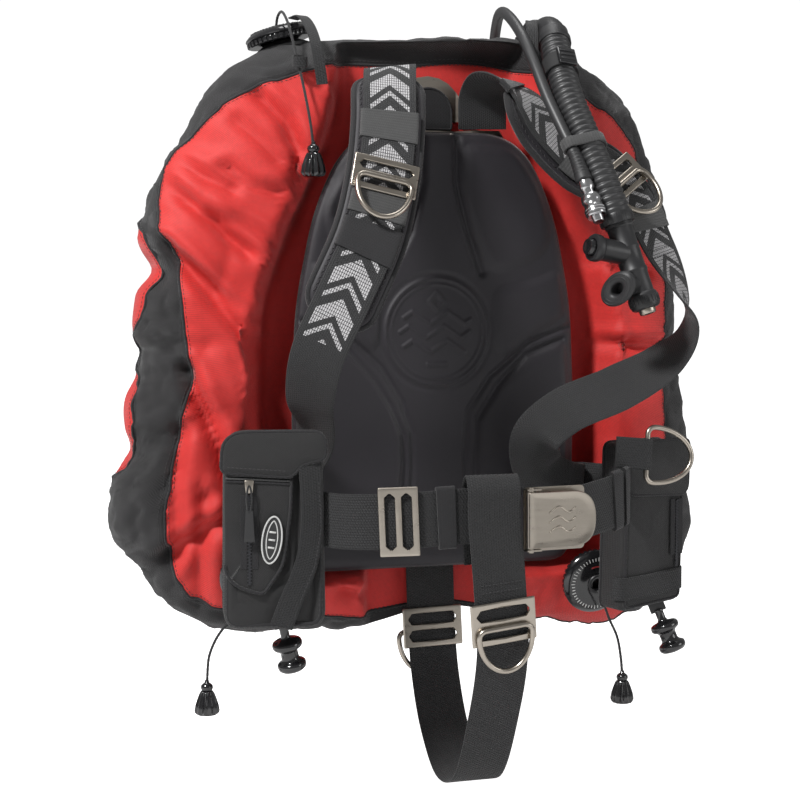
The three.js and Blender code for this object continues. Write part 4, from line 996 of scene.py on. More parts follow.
# %% [markdown]
# The pad starts as a flat grid. Points just past the outline are pulled onto it, the rest are removed,
# and the height function lifts what stays. A grid this fine keeps the moulded channels crisp.

# %% Back pad: mesh
bpy.ops.mesh.primitive_grid_add(x_subdivisions=232, y_subdivisions=330, size=1)
pad = bpy.context.object
co = np.empty(len(pad.data.vertices) * 3)
pad.data.vertices.foreach_get("co", co)
co = co.reshape(-1, 3)
x, z = co[:, 0] * 292.0, co[:, 1] * 428.0 - 25.0
edge = inside_distance(x, z, pad_edge)
# points just outside the outline are pulled onto it, and the rest are removed
rim = pad_edge
nearest = np.full(len(x), 1e9)
snapped = np.stack([x, z], 1)
for a, b in zip(rim, np.roll(rim, -1, 0)):
    d = b - a
    t = np.clip(((x - a[0]) * d[0] + (z - a[1]) * d[1]) / max(d @ d, 1e-9), 0, 1)
    qx, qz = a[0] + t * d[0], a[1] + t * d[1]
    gap = np.hypot(x - qx, z - qz)
    closer = gap < nearest
    nearest = np.where(closer, gap, nearest)
    snapped[closer] = np.stack([qx, qz], 1)[closer]
pull = (edge < 0.45) & (edge > -1.6)
x, z = np.where(pull, snapped[:, 0], x), np.where(pull, snapped[:, 1], z)
height = pad_height(x, z)
pad.data.vertices.foreach_set("co", np.stack([x * MM, (pad_rear - height) * MM, z * MM], 1).ravel())
work = bmesh.new()
work.from_mesh(pad.data)
work.verts.ensure_lookup_table()
bmesh.ops.delete(work, geom=[v for v in work.verts if edge[v.index] <= -1.6], context="VERTS")
bmesh.ops.recalc_face_normals(work, faces=work.faces)
front_faces = list(work.faces)
made = bmesh.ops.extrude_face_region(work, geom=front_faces)
for vert in [g for g in made["geom"] if isinstance(g, bmesh.types.BMVert)]:
    vert.co.y = pad_rear * MM
bmesh.ops.recalc_face_normals(work, faces=work.faces)
work.to_mesh(pad.data)
work.free()
finish(pad, "moulded_back_pad", pad_cloth, replaces=("back_pad",), angle=60)
print("pad faces", len(pad.data.polygons))

# %% [markdown]
# Binding tape is folded over the pad's edge and held by a zigzag stitch. The tape is a rounded band that
# follows the outline, and its stitches lean one way and then the other.

# %% Back pad: binding and zigzag
edge_line = np.array([(px * MM, 0.0, pz * MM) for px, pz in pad_edge])
edge_line = even(np.vstack([edge_line, edge_line[:1]]), 0.004)[:-1]
edge_along = unit(np.roll(edge_line, -1, 0) - np.roll(edge_line, 1, 0))
edge_out = np.cross(edge_along, (0, 1, 0))
if np.mean(np.sum(edge_out * (edge_line - edge_line.mean(0)), 1)) < 0:
    edge_out = -edge_out
tape = [(-8.0, 7.4), (-4.0, 7.0), (-0.4, 6.0), (1.0, 3.6), (1.2, 1.6), (0.2, -0.2), (-6.0, -0.6),
    (-6.0, 0.4), (-1.4, 0.9), (-0.6, 1.8), (-0.8, 3.6), (-2.0, 5.2), (-4.4, 6.0), (-8.0, 6.4)]
rings = []
for point, out in zip(edge_line, edge_out):
    rings.append([point + out * (a * MM) + np.array((0, (pad_rear - b) * MM, 0)) for a, b in tape])
finish(skin(rings, closed=True), "back_pad_binding", binding, angle=50)
stitch_line = edge_line - edge_out * 0.0055 + np.array((0, (pad_rear - 7.6) * MM, 0))
stitch_line = np.vstack([stitch_line, stitch_line[:1]])
towards = np.zeros_like(stitch_line)
towards[:, 1] = -1
stitch_row(stitch_line, towards, "back_pad_zigzag", thread, length=0.0042, pitch=0.0030,
    width=0.0008, lean=1.0)
print("binding rings", len(rings))

# %% [markdown]
# The harness is one family of 50 mm webbing: two shoulder straps, a waist belt in two halves and a crotch
# strap. Flat webbing is a section swept along its route. The routes repeat the CAD's stations: a place in
# millimetres, and the way that the outer face looks there.

# %% Webbing: routes and straps
waist_z, far_y, near_y = -165.0, -24.6, -22.3
webbing_routes = {"shoulder_right": [(-49, -26, 193, 0, 1, 0), (-49, -31, 232, 0, 0.8, 0.6),
    (-54, -52, 247, -0.1, 0, 1), (-62, -78, 227, -0.1, -0.8, 0.6), (-68, -98, 188, -0.1, -1, 0.2),
    (-79, -118, 138, -0.1, -1, 0.1), (-97, -136, 85, -0.2, -1, 0), (-125, -148, 31, -0.3, -1, 0),
    (-148, -140, -22, -0.4, -0.9, 0), (-149, -112, -66, -0.6, -0.8, 0), (-136, -78, -104, -0.8, -0.6, 0),
    (-148, -56, -140, -1, -0.2, 0), (-154, -40, -160, -1, 0.3, 0), (-150, -27, waist_z, -0.6, 0.8, 0),
    (-134, far_y, waist_z, 0, 1, 0), (-115, far_y, waist_z, 0, 1, 0)],
    "shoulder_left": [(49, -26, 193, 0, 1, 0), (48, -33, 228, 0, 0.8, 0.6), (54, -52, 240, 0.2, 0, 1),
    (74, -66, 226, 0.35, -0.5, 0.7), (100, -76, 192, 0.3, -0.9, 0.4), (127, -83, 165, 0.3, -0.9, 0.3),
    (157, -92, 148, 0.3, -1, 0.25), (180, -104, 118, 0.35, -1, 0.15), (197, -120, 76, 0.5, -0.9, 0),
    (217, -134, 26, 0.8, -0.6, 0), (216, -141, -5, 0.9, 0, -0.4), (193, -141, -32, 0.5, 0.5, -0.7),
    (149, -133, -58, 0.2, 0.8, -0.6), (103, -112, -81, 0.2, 0.8, -0.5), (84, -88, -108, 0.3, 0.8, -0.4),
    (96, -66, -142, 0.3, 0.9, -0.1), (128, -54, -160, 0, 1, 0), (150, -46, waist_z, -0.5, 0.8, 0),
    (153, -32, waist_z, -1, 0, 0), (147, -25.5, waist_z, -0.4, -0.9, 0), (134, far_y, waist_z, 0, -1, 0),
    (115, far_y, waist_z, 0, -1, 0)], "waist_right": [(-115, near_y, waist_z, 0, 1, 0),
    (-134, near_y, waist_z, 0, 1, 0), (-152, near_y - 1, waist_z, -0.4, 0.9, 0),
    (-166, -46, waist_z, -1, 0.2, 0), (-164, -100, -167, -1, -0.2, 0), (-136, -158, -171, -0.75, -0.65, 0),
    (-87, -190, -169, -0.3, -0.95, 0), (-22, -197, -166, 0, -1, 0), (24, -198, -169, 0, -1, 0)],
    "waist_left": [(32, -198, -170, 0, -1, 0), (66, -197, -170, 0.05, -1, 0),
    (110, -183, -164, 0.35, -0.95, 0), (152, -150, -159, 0.8, -0.6, 0), (172, -100, -161, 1, -0.1, 0),
    (168, -46, waist_z, 1, 0.2, 0), (152, near_y - 1, waist_z, 0.4, 0.9, 0),
    (134, near_y, waist_z, 0, 1, 0), (115, near_y, waist_z, 0, 1, 0)],
    "crotch": [(0, -9, -192, 0, 1, 0), (0, -10, -240, 0, 1, 0), (2, -12, -310, 0, 1, 0),
    (3, -20, -350, 0, 1, -0.15), (4, -46, -397, 0, 0.85, -0.5), (6, -88, -432, 0, 0.4, -0.9),
    (8, -130, -425, 0, -0.5, -0.9), (10, -172, -355, 0, -0.95, -0.3), (9, -197, -290, 0, -1, 0),
    (3, -205, -230, 0, -1, 0), (-3, -207, -165, 0, -1, 0), (-3, -206, -141, 0, -1, 0.2),
    (-3, -198, -130, 0, 0, 1), (-3, -189, -141, 0, 1, 0.2), (-3, -188, -165, 0, 1, 0),
    (0, -188, -210, 0, 1, 0)],}
web_width, web_thickness = 0.050, 0.0020


def reach_at(route, share):
    line = curve(np.array(route)[:, :3] * MM, np.linspace(0, share, 200))
    return length_of(line)


for name, first, last in (("shoulder_right", 0.12, 0.52), ("shoulder_left", 0.06, 0.52)):
    route = webbing_routes[name]
    pattern = patterned_webbing(f"patterned_{name}", reach_at(route, first), reach_at(route, last))
    side = name.split("_")[1]
    band = finish(strap(route, web_width, web_thickness, 220), f"{name}_strap", pattern,
        replaces=(f"shoulder_webbing_{side}",), angle=50)
for name in ("waist_right", "waist_left", "crotch"):
    route = webbing_routes[name]
    node_name = f"waist_webbing_{name.split('_')[1]}" if "_" in name else "crotch_webbing"
    band = finish(strap(route, web_width, web_thickness, 160), f"{name}_strap", webbing,
        replaces=(node_name,), angle=50)
    print(band.name, round(reach_at(route, 1.0), 3), "m")

# %% [markdown]
# Under each shoulder strap lies a foam pad with bound edges. Grey patches of hook tape and elastic
# keepers wrap the webbing, and are short sleeves on the same route, only a little wider and thicker than
# the webbing inside them.

# %% Webbing: shoulder pads
pad_under = -0.0082
pad_spans = {"right": (7 / 44, 22 / 44), "left": (7 / 54, 19 / 54)}
for side, (first, last) in pad_spans.items():
    route = webbing_routes[f"shoulder_{side}"]
    cushion = finish(strap(route, 0.064, 0.0076, 110, lift=pad_under, start=first, end=last, bulge=0.0006,
        rounding=0.026), f"shoulder_cushion_{side}", pad_cloth,
        replaces=(f"shoulder_pad_{side}",), angle=60)
    shares = np.linspace(first, last, 111)
    place, along, across, out = strap_frames(route, shares)
    reach = np.r_[0, np.cumsum(np.linalg.norm(np.diff(place, axis=0), axis=1))]
    gap = np.clip(np.minimum(reach, reach[-1] - reach) / 0.026, 0, 1)
    half = 0.0322 * np.maximum(np.sqrt(1 - (1 - gap) ** 2), 0.25)[:, None]
    centre = place + out * pad_under
    loop = np.vstack([centre + across * half, (centre - across * half)[::-1]])
    finish(closed_hose(even(np.vstack([loop, loop[:1]]), 0.004)[:-1], 0.0034, 10),
        f"shoulder_cushion_binding_{side}", binding)
    top = place + out * (pad_under + 0.0042)
    for k, sign in enumerate((1, -1)):
        line = top + across * (half - 0.0052) * sign
        stitch_row(line[6:-6], out[6:-6], f"shoulder_cushion_stitches_{side}_{k + 1}", thread,
            length=0.0036, pitch=0.0030, width=0.0007, lean=0.9)
print("shoulder cushions done")

# %% [markdown]
# Sewn patches and keepers are short sleeves of webbing that hug the strap beneath. Each follows a share
# of that strap's own route, so it can't drift off it.

# %% Webbing: patches and keepers
def sleeve(route_name, first, last, name, material, width=0.0545, thickness=0.0046, replaces=()):
    """A short closed sleeve round the webbing of one route."""
    route = webbing_routes[route_name]
    steps = max(int(abs(last - first) * 200), 6)
    return finish(strap(route, width, thickness, steps, start=first, end=last), name, material,
        replaces=replaces, angle=50)


patches = [("shoulder_right", 0.246, 0.287, "upper_patch_right"),
    ("shoulder_right", 0.352, 0.380, "lower_patch_right"), ("shoulder_left", 0.228, 0.262,
    "upper_patch_left"), ("shoulder_left", 0.338, 0.362, "lower_patch_left")]
for route_name, first, last, name in patches:
    sleeve(route_name, first, last, name, elastic, width=0.0552, thickness=0.0044)
keepers = [("shoulder_right", 0.388, 0.424, "shoulder_keeper_right", ()),
    ("shoulder_left", 0.118, 0.134, "shoulder_keeper_left", ()),
    ("waist_right", 0.815, 0.846, "belt_keeper_right", ("waist_keeper_right",)),
    ("waist_left", 0.295, 0.328, "belt_keeper_left", ("waist_keeper_left",)),
    ("waist_left", 0.345, 0.368, "belt_keeper_side", ())]
for route_name, first, last, name, nodes in keepers:
    sleeve(route_name, first, last, name, binding, width=0.0565, thickness=0.0062, replaces=nodes)


def cross_stitches(route_name, share, name, half=0.021, proud=0.0013):
    """Two rows of stitches across a strap, as where it is sewn back on itself."""
    route = webbing_routes[route_name]
    place, along, across, out = (v[0] for v in strap_frames(route, np.array([share])))
    for k, step in enumerate((-0.0035, 0.0035)):
        line = place + along * step + out * proud + across * np.linspace(-half, half, 16)[:, None]
        stitch_row(line, np.tile(out, (16, 1)), f"{name}_{k + 1}", thread, pitch=0.0036)


cross_stitches("crotch", 0.60, "crotch_stitches_upper")
cross_stitches("crotch", 0.54, "crotch_stitches_lower")
cross_stitches("shoulder_right", 0.437, "strap_stitches_right")
cross_stitches("shoulder_left", 0.385, "strap_stitches_left")
cross_stitches("waist_right", 0.90, "belt_stitches_right")
print("patches, keepers and stitches done")

# %% [markdown]
# Sliders and rings are stainless steel. A slider starts as a flat grid: its lines are moved to the edges
# of the bars, the two windows are deleted, and the rest is extruded and bevelled. A ring is bent from
# round wire, so it is a tube on a D-shaped line. The rings swing, and each rides on its own body.

# %% Metal: seats, sliders
slider_bar, slider_thickness, ring_wire = 6.0, 3.0, 5.0
on_webbing = -(1.0 + 0.9)
slider_front = on_webbing - slider_thickness
ring_bar_y = slider_front - 0.3 - ring_wire / 2


def seat_on(route_name, share, half_turn=None):
    """A frame on a strap: X across it, -Y outward and Z back along it, in metres."""
    place, along, across, out = (v[0] for v in strap_frames(webbing_routes[route_name], np.array([share])))
    seat = Matrix.Identity(4)
    for column, axis in enumerate((across, -out, -along)):
        for row in range(3):
            seat[row][column] = axis[row]
    for row in range(3):
        seat[row][3] = place[row]
    if half_turn:
        seat = seat @ Matrix.Rotation(math.pi, 4, half_turn)
    return seat


def bevelled(piece, width, segments=3, angle=30):
    bevel = piece.modifiers.new("edges", "BEVEL")
    bevel.width = width
    bevel.segments = segments
    bevel.limit_method = "ANGLE"
    bevel.angle_limit = math.radians(angle)
    apply_modifiers(piece)
    return piece


def place_piece(piece, seat):
    piece.data.transform(piece.matrix_world)
    piece.matrix_world = Matrix.Identity(4)
    piece.data.transform(seat)
    return piece


def slider_plate(seat, width, height):
    deselect()
    bpy.ops.mesh.primitive_grid_add(x_subdivisions=3, y_subdivisions=5, size=1)
    plate = bpy.context.object
    half, bar, tall = width / 2, slider_bar, height / 2
    columns = [-half, -half + bar, half - bar, half]
    lines = [-tall, -tall + bar, -bar / 2, bar / 2, tall - bar, tall]
    for vert in plate.data.vertices:
        column, line = round((vert.co.x + 0.5) * 3), round((vert.co.y + 0.5) * 5)
        vert.co = Vector((columns[column] * MM, slider_front * MM, lines[line] * MM))
    scene.tool_settings.mesh_select_mode = (False, False, True)
    bpy.ops.object.mode_set(mode="EDIT")
    bpy.ops.mesh.select_all(action="DESELECT")
    bpy.ops.object.mode_set(mode="OBJECT")
    for face in plate.data.polygons:
        middle = face.center / MM
        face.select = abs(middle.x) < 1 and bar / 2 < abs(middle.z) < tall - bar
    bpy.ops.object.mode_set(mode="EDIT")
    bpy.ops.mesh.delete(type="FACE")
    bpy.ops.mesh.select_all(action="SELECT")
    bpy.ops.mesh.extrude_region_move(TRANSFORM_OT_translate={"value": (0, slider_thickness * MM, 0)})
    bpy.ops.mesh.select_all(action="SELECT")
    bpy.ops.mesh.normals_make_consistent(inside=False)
    bpy.ops.object.mode_set(mode="OBJECT")
    corners = plate.modifiers.new("corners", "BEVEL")
    corners.width = 0.0034
    corners.segments = 4
    corners.limit_method = "ANGLE"
    corners.angle_limit = math.radians(80)
    apply_modifiers(plate)
    soft = plate.modifiers.new("soft", "SUBSURF")
    soft.levels = soft.render_levels = 1
    apply_modifiers(plate)
    return place_piece(plate, seat)


slider_seats = {"chest_slider_right": (seat_on("shoulder_right", 0.333), 34),
    "chest_slider_left": (seat_on("shoulder_left", 0.3), 34),
    "crotch_slider_front": (seat_on("crotch", 0.565, "Y"), 40),
    "crotch_slider_rear": (seat_on("crotch", 0.126, "Z"), 40),
    "waist_slider": (seat_on("waist_right", 0.75), 36),}
for name, (seat, height) in slider_seats.items():
    finish(slider_plate(seat, 62.0, float(height)), f"{name}_plate", steel, replaces=(name,),
        angle=40)
print("five sliders")

# %% [markdown]
# A D-ring has a straight bar under the webbing and a bow that hangs from it. Its line is closed, and the
# same tube helper gives it its round wire.

# %% Metal: rings
def ring_outline(width, drop):
    half, corner = (width - ring_wire) / 2, 7.0
    bow = drop - ring_wire - corner
    points = [(x, 0.0) for x in np.linspace(half - corner, -half + corner, 14)]
    points += [(-half + corner + corner * math.cos(a), -corner + corner * math.sin(a))
        for a in np.linspace(math.pi / 2, math.pi, 10)[1:]]
    points += [(half * math.cos(a), -corner + bow * math.sin(a))
        for a in np.linspace(math.pi, 2 * math.pi, 40)[1:-1]]
    points += [(half - corner + corner * math.cos(a), -corner + corner * math.sin(a))
        for a in np.linspace(0, math.pi / 2, 10)]
    line = np.array([(x * MM, 0.0, z * MM) for x, z in points])
    return even(np.vstack([line, line[:1]]), 0.0022)[:-1]


hip_seat = Matrix(((0.0991, -0.0120, -0.9950, 0.172), (0.1197, 0.9928, 0.0, -0.150),
    (0.9878, -0.1191, 0.0998, -0.121), (0, 0, 0, 1)))
lean = Matrix.Rotation(-0.12, 4, "X")


def moved(x, y, z):
    return Matrix.Translation(Vector((x * MM, y * MM, z * MM)))


ring_seats = {"chest_ring_right": (slider_seats["chest_slider_right"][0] @ moved(0, ring_bar_y, -4) @ lean,
    56, 46), "chest_ring_left": (slider_seats["chest_slider_left"][0] @ moved(0, ring_bar_y, -4) @ lean, 56,
    46), "crotch_ring_front": (slider_seats["crotch_slider_front"][0] @ moved(0, ring_bar_y, -4), 56, 46),
    "crotch_ring_rear": (seat_on("crotch", 0.126) @ moved(8, on_webbing - ring_wire / 2, -4), 56, 46),
    "hip_ring": (hip_seat, 58, 52),}
for name, (seat, width, drop) in ring_seats.items():
    ring = closed_hose(ring_outline(width, drop), ring_wire / 2 * MM, 14)
    ring.data.transform(seat)
    finish(ring, f"{name}_wire", steel, body=name, replaces=(name,))
    print(name, "on its own body")

# %% [markdown]
# The cam buckle's frame and pin come from the CAD. Its lever is a formed plate with a rounded end,
# modelled here with a rolled rim and a small relief of waves, and it swings about the pin.

# %% Metal: buckle lever
lever_seat = Matrix(((0.9989, -0.0462, -0.0080, 0.03165), (0.0462, 0.9989, -0.0003, -0.20756),
    (0.0080, -0.0001, 1.0, -0.17054), (0, 0, 0, 1)))
lever_half, lever_length = 25.5, 62.0
face_line = rounded_line([(-4, -lever_half), (lever_length, -lever_half), (lever_length, lever_half),
    (-4, lever_half)], [2, 24, 24, 2], 14)
profile = [(9.0, -5.05), (3.2, -5.2), (1.6, -5.75), (0.5, -5.7), (0.0, -5.0), (0.1, -4.2), (0.9, -3.7),
    (9.0, -3.7)]
middle = np.array((28.0, 0.0))
rings = []
for inset, y in profile:
    scale = 1 - inset / np.linalg.norm(face_line - middle, axis=1)
    flat = middle + (face_line - middle) * scale[:, None]
    rings.append([(p[0] * MM, y * MM, p[1] * MM) for p in flat])
lever = skin(rings)
lever.data.transform(lever_seat)
finish(lever, "buckle_lever_plate", steel, body="buckle_lever", replaces=("buckle_lever",),
    angle=40)
hub_line = np.array([(0.0, 0.0, z * MM) for z in np.linspace(-lever_half, lever_half, 9)])
hub = hose(hub_line, 0.0046, 20)
hub.data.transform(lever_seat)
finish(hub, "buckle_lever_hub", steel, body="buckle_lever", angle=40)
for k, rise in enumerate((-9.0, 0.0, 9.0)):
    wave_line = np.array([(x * MM, -5.25 * MM, (rise + 2.6 * math.sin(x / 3.2)) * MM)
        for x in np.linspace(16, 42, 40)])
    relief_line = hose(wave_line, 0.0009, 8)
    relief_line.data.transform(lever_seat)
    finish(relief_line, f"buckle_relief_{k + 1}", steel, body="buckle_lever")
print("buckle lever done")

# %% [markdown]
# Both pockets are sewn from coated nylon over thin foam. Each is a crowned pillow: rings of its outline
# run from the middle of the front, round the sides to the middle of the back, and a little noise gives it
# the slack of real cloth. Bound edges, a flap, a zip and a webbing band are then laid on it.

# %% Pockets: helpers
def turned_place(place, turn):
    return Matrix.Translation(Vector(place) * MM) @ Matrix.Rotation(turn, 4, "Z")


def offset_outline(outline, inset):
    """The outline moved inwards, vertex by vertex, along its own normals (millimetres)."""
    p = np.asarray(outline, float)
    t = unit(np.roll(p, -1, 0) - np.roll(p, 1, 0))
    n = np.stack([-t[:, 1], t[:, 0]], 1)
    if np.mean(np.sum(n * (p - p.mean(0)), 1)) > 0:
        n = -n
    return p + n * inset


def pillow(outline, depth, crown, seat, name, material, slack=1.0, seed=3, edge=7.0, replaces=(), folds=()):
    middle = outline.mean(0)
    half = depth / 2
    rings = []
    for side in (-1, 1):
        if side < 0:
            flat = [(s, side * (half + crown * (1 - s ** 2.6))) for s in np.linspace(0.02, 0.97, 40)]
            rings += [(middle + (offset_outline(outline, edge * 0.9) - middle) * s, y) for s, y in flat]
            rings += [(offset_outline(outline, edge * (1 - math.sin(a))),
                side * (half - edge * (1 - math.cos(a)))) for a in np.linspace(0.1, math.pi / 2, 7)]
        else:
            rings += [(offset_outline(outline, edge * (1 - math.sin(a))), half - edge * (1 - math.cos(a)))
                for a in np.linspace(math.pi / 2, 0.1, 7)]
            rings += [(middle + (offset_outline(outline, edge * 0.9) - middle) * s, half)
                for s in np.linspace(0.97, 0.02, 12)]
    grid = np.array([[(p[0], y, p[1]) for p in flat] for flat, y in rings])
    puff = smooth_noise(grid, 26.0, seed) * 1.6 + smooth_noise(grid, 11.0, seed + 1) * 0.7
    away = unit(grid - np.array([middle[0], 0, middle[1]]))
    grid = grid + away * (puff * slack)[..., None]
    for sink, wide, line in folds:  # folds sink into the front face along a line
        gap, _ = to_polyline(grid[..., 0], grid[..., 2], line)
        grid[..., 1] += np.where(grid[..., 1] < 0, sink * np.exp(-(gap / wide) ** 1.4), 0)
    piece = skin(grid * MM)
    piece.data.transform(seat)
    finish(piece, name, material, replaces=replaces)
    return piece


def blocks(boxes, seat):
    """Many small blocks in one mesh: each is (centre, size, turn about Z) in millimetres."""
    points, faces = [], []
    for centre, size, turn in boxes:
        base = len(points)
        c, s = math.cos(turn), math.sin(turn)
        for dx in (-0.5, 0.5):
            for dy in (-0.5, 0.5):
                for dz in (-0.5, 0.5):
                    x, y, z = dx * size[0], dy * size[1], dz * size[2]
                    points.append(((centre[0] + c * x - s * y) * MM, (centre[1] + s * x + c * y) * MM,
                        (centre[2] + z) * MM))
        faces += [tuple(base + i for i in f) for f in ((0, 1, 3, 2), (4, 6, 7, 5), (0, 4, 5, 1),
            (2, 3, 7, 6), (0, 2, 6, 4), (1, 5, 7, 3))]
    piece = mesh_piece(points, faces)
    outward(piece)
    piece.data.transform(seat)
    return piece


def bound_edge(outline, y, seat, name, radius=1.7, material=None, closed=True):
    line = np.array([(p[0] * MM, y * MM, p[1] * MM) for p in outline])
    if closed:
        piece = closed_hose(even(np.vstack([line, line[:1]]), 0.003)[:-1], radius * MM, 10)
    else:
        piece = hose(even(line, 0.003), radius * MM, 10)
    piece.data.transform(seat)
    return finish(piece, name, material or binding)


def seam_on(seat, points, y, name, normal=(0, -1, 0)):
    """A stitched line on the front of a pocket, at a given depth in the pocket's frame."""
    line = even(np.array([(x * MM, y * MM, z * MM) for x, z in points]), 0.003)
    world_line = np.array([seat @ Vector(p) for p in line])
    out = np.tile(np.array(seat.to_3x3() @ Vector(normal)), (len(line), 1))
    return stitch_row(world_line, out, name, thread, pitch=0.0038)


# %% [markdown]
# The cargo pocket has a flap over the top, a raised panel with the zip on its front and a bound edge all
# round. Two deep folds run down beside the webbing band.

# %% Pockets: cargo pocket
cargo = turned_place((-186, -124, -181), -0.2)
cargo_outline = rounded_line([(-46, -88), (46, -88), (44, 88), (-44, 88)], [16, 16, 14, 20], 8)
cargo_folds = [(5, 5, [(22, 60), (24, 10), (12, -30), (-2, -62), (-8, -84)]),
    (6, 5, [(43, 50), (42, -10), (36, -60), (33, -84)]), (4, 4, [(30, 2), (24, -30), (10, -70)]),
    (3, 4, [(30, -40), (40, -52)]), (3, 5, [(-40, -60), (-12, -66)])]
pillow(cargo_outline, 42, 1.5, cargo, "cargo_pouch", pocket_cloth, slack=1.2, replaces=("cargo_pocket",),
    folds=cargo_folds)
bound_edge(offset_outline(cargo_outline, 4.0), -19.0, cargo, "cargo_front_binding")
bound_edge(offset_outline(cargo_outline, 1.0), 17.0, cargo, "cargo_back_binding", 2.2)
flap_outline = rounded_line([(-47, 55), (16, 50), (26, 62), (46, 66), (46, 91), (-45, 91)],
    [6, 6, 6, 6, 12, 24], 7)
pillow(flap_outline, 5, 1.6, cargo @ moved(0, -24.6, 0), "cargo_flap", pocket_cloth, slack=0.6, seed=9,
    edge=2.4)
bound_edge(flap_outline, -25.4, cargo, "cargo_flap_binding", 1.6)
seam_on(cargo, [(-42, 60), (12, 56)], -28.9, "cargo_flap_stitches")
front_panel = rounded_line([(-44, 50), (-44, -36), (-34, -48), (-10, -56), (8, -30), (15, 20), (16, 50)],
    [2, 8, 8, 6, 10, 10, 2], 6)
pillow(front_panel, 2.2, 0.4, cargo @ moved(0, -21.6, 0), "cargo_front_panel", pocket_cloth, slack=0.3,
    seed=31, edge=1.0)
bound_edge(front_panel[6:-4], -23.0, cargo, "cargo_panel_binding", 1.5, closed=False)
for k, high in enumerate((52.5, 49.5, 46.8)):
    bound_edge([(-43, high), (-20, high - 1.0), (15, high - 3.0)], -24.2 + 0.5 * k, cargo,
        f"cargo_zip_band_{k + 1}", 1.0, material=elastic if k == 1 else binding, closed=False)


def zip_run(seat, x, y, high, low, name):
    """A coil zip: a flat tape on each side of a double row of small teeth."""
    tape = []
    for side in (-1, 1):
        line = np.array([(x + side * 5.0, y, z) for z in np.linspace(high, low, 30)]) * MM
        tape.append(line)
        stations = [(px / MM, py / MM, pz / MM, 0, -1, 0) for px, py, pz in line[::6]]
        half = strap(stations, 0.0062, 0.0009, 20)
        half.data.transform(seat)
        finish(half, f"{name}_tape_{'left' if side < 0 else 'right'}", binding, angle=50)
    teeth = blocks([((x + (0.55 if k % 2 else -0.55), y - 0.2, z), (3.0, 1.4, 1.0), 0.0) for k,
        z in enumerate(np.arange(low, high, 1.5))], seat)
    finish(teeth, f"{name}_teeth", zip_metal, angle=30)


zip_run(cargo, -22, -23.2, 34, -46, "cargo_zip")

# %% [markdown]
# The zip's slider moves down the pocket and its pull swings on it, so each rides on its own body. The
# pull is a cord loop that ends in a moulded tab, and it hangs from the slider's nose.

# %% Pockets: zip slider and pull
slider_at = Matrix(((0.9801, 0.1987, 0, -0.21219), (-0.1987, 0.9801, 0, -0.14246), (0, 0, 1, -0.139),
    (0, 0, 0, 1)))
pull_at = Matrix(((0.9801, 0.1987, 0, -0.21326), (-0.1987, 0.9801, 0, -0.14776), (0, 0, 1, -0.139),
    (0, 0, 0, 1)))
deselect()
bpy.ops.mesh.primitive_cube_add(size=1)
runner = bpy.context.object
for vert in runner.data.vertices:
    wide = 4.4 if vert.co.z > 0 else 3.2
    vert.co = Vector((vert.co.x * 2 * wide, (-3.4 if vert.co.y < 0 else 0.1), vert.co.z * 12)) * MM
bevelled(runner, 0.0011, 3)
place_piece(runner, slider_at)
finish(runner, "zip_runner", steel, body="zip_slider", replaces=("zip_slider",), angle=40)
loop_line = np.array([(2.2 * math.sin(a) * (1 if a < math.pi else 1), -0.4, -11 + 12 * math.cos(a))
    for a in np.linspace(0, 2 * math.pi, 40, endpoint=False)]) * MM
pull_cord = closed_hose(loop_line, 0.0009, 8)
pull_cord.data.transform(pull_at)
finish(pull_cord, "zip_pull_cord", cord_cloth, body="zip_pull")
deselect()
bpy.ops.mesh.primitive_cube_add(size=1)
tab = bpy.context.object
for vert in tab.data.vertices:
    wide = 3.2 if vert.co.z > 0 else 4.8
    vert.co = Vector((vert.co.x * 2 * wide, vert.co.y * 3.0, vert.co.z * 28 - 35)) * MM
bpy.ops.object.mode_set(mode="EDIT")
bpy.ops.mesh.select_all(action="SELECT")
bpy.ops.mesh.subdivide(number_cuts=5)
bpy.ops.object.mode_set(mode="OBJECT")
for vert in tab.data.vertices:  # shallow grip ribs across the tab
    if abs(vert.co.y) > 1.4 * MM:
        vert.co.y *= 1.0 + 0.22 * math.cos(vert.co.z / MM * 1.35)
bevelled(tab, 0.0008, 2, 50)
place_piece(tab, pull_at)
finish(tab, "zip_pull_tab", rubber, body="zip_pull", replaces=("zip_pull",), angle=40)

# %% [markdown]
# The moulded label is an oval with two rims and three plain bars. The band that carries the pocket's load
# runs down its side and tucks under.

# %% Pockets: label and side band
label_outline = [(9.5 * math.cos(a), 22 * math.sin(a)) for a in np.linspace(0, 2 * math.pi, 48,
    endpoint=False)]


def flat_disc(outline, y_back, y_front, seat, name, material, edge=0.6):
    middle = np.mean(outline, 0)
    rings = []
    for inset, y in ((99, y_back), (0, y_back), (0, y_front + edge), (edge, y_front), (99, y_front)):
        flat = offset_outline(outline, inset) if inset < 50 else middle + (np.array(outline)
            - middle) * 0.02
        rings.append([(p[0] * MM, y * MM, p[1] * MM) for p in flat])
    piece = skin(rings)
    piece.data.transform(seat)
    return finish(piece, name, material, angle=40)


label_seat = cargo @ moved(-2, -0.6, -6) @ Matrix.Rotation(0.12, 4, "Y")
flat_disc(label_outline, -21.0, -25.4, label_seat, "cargo_label", rubber)
for name, size, y in (("outer", 0.8, -25.6), ("inner", 4.6, -25.5)):
    rim = np.array([(p[0] * MM, y * MM, p[1] * MM) for p in offset_outline(label_outline, size)])
    piece = closed_hose(rim, 0.00055 if name == "inner" else 0.0008, 8)
    piece.data.transform(label_seat)
    finish(piece, f"cargo_label_{name}_ring", label_rubber)
for k in range(3):
    bar_line = np.array([(x, -25.6, 7.0 - 7.0 * k) for x in (-3.0, 0.0, 3.0)]) * MM
    piece = hose(bar_line, 0.0009, 8)
    piece.data.transform(label_seat)
    finish(piece, f"cargo_label_bar_{k + 1}", label_rubber)


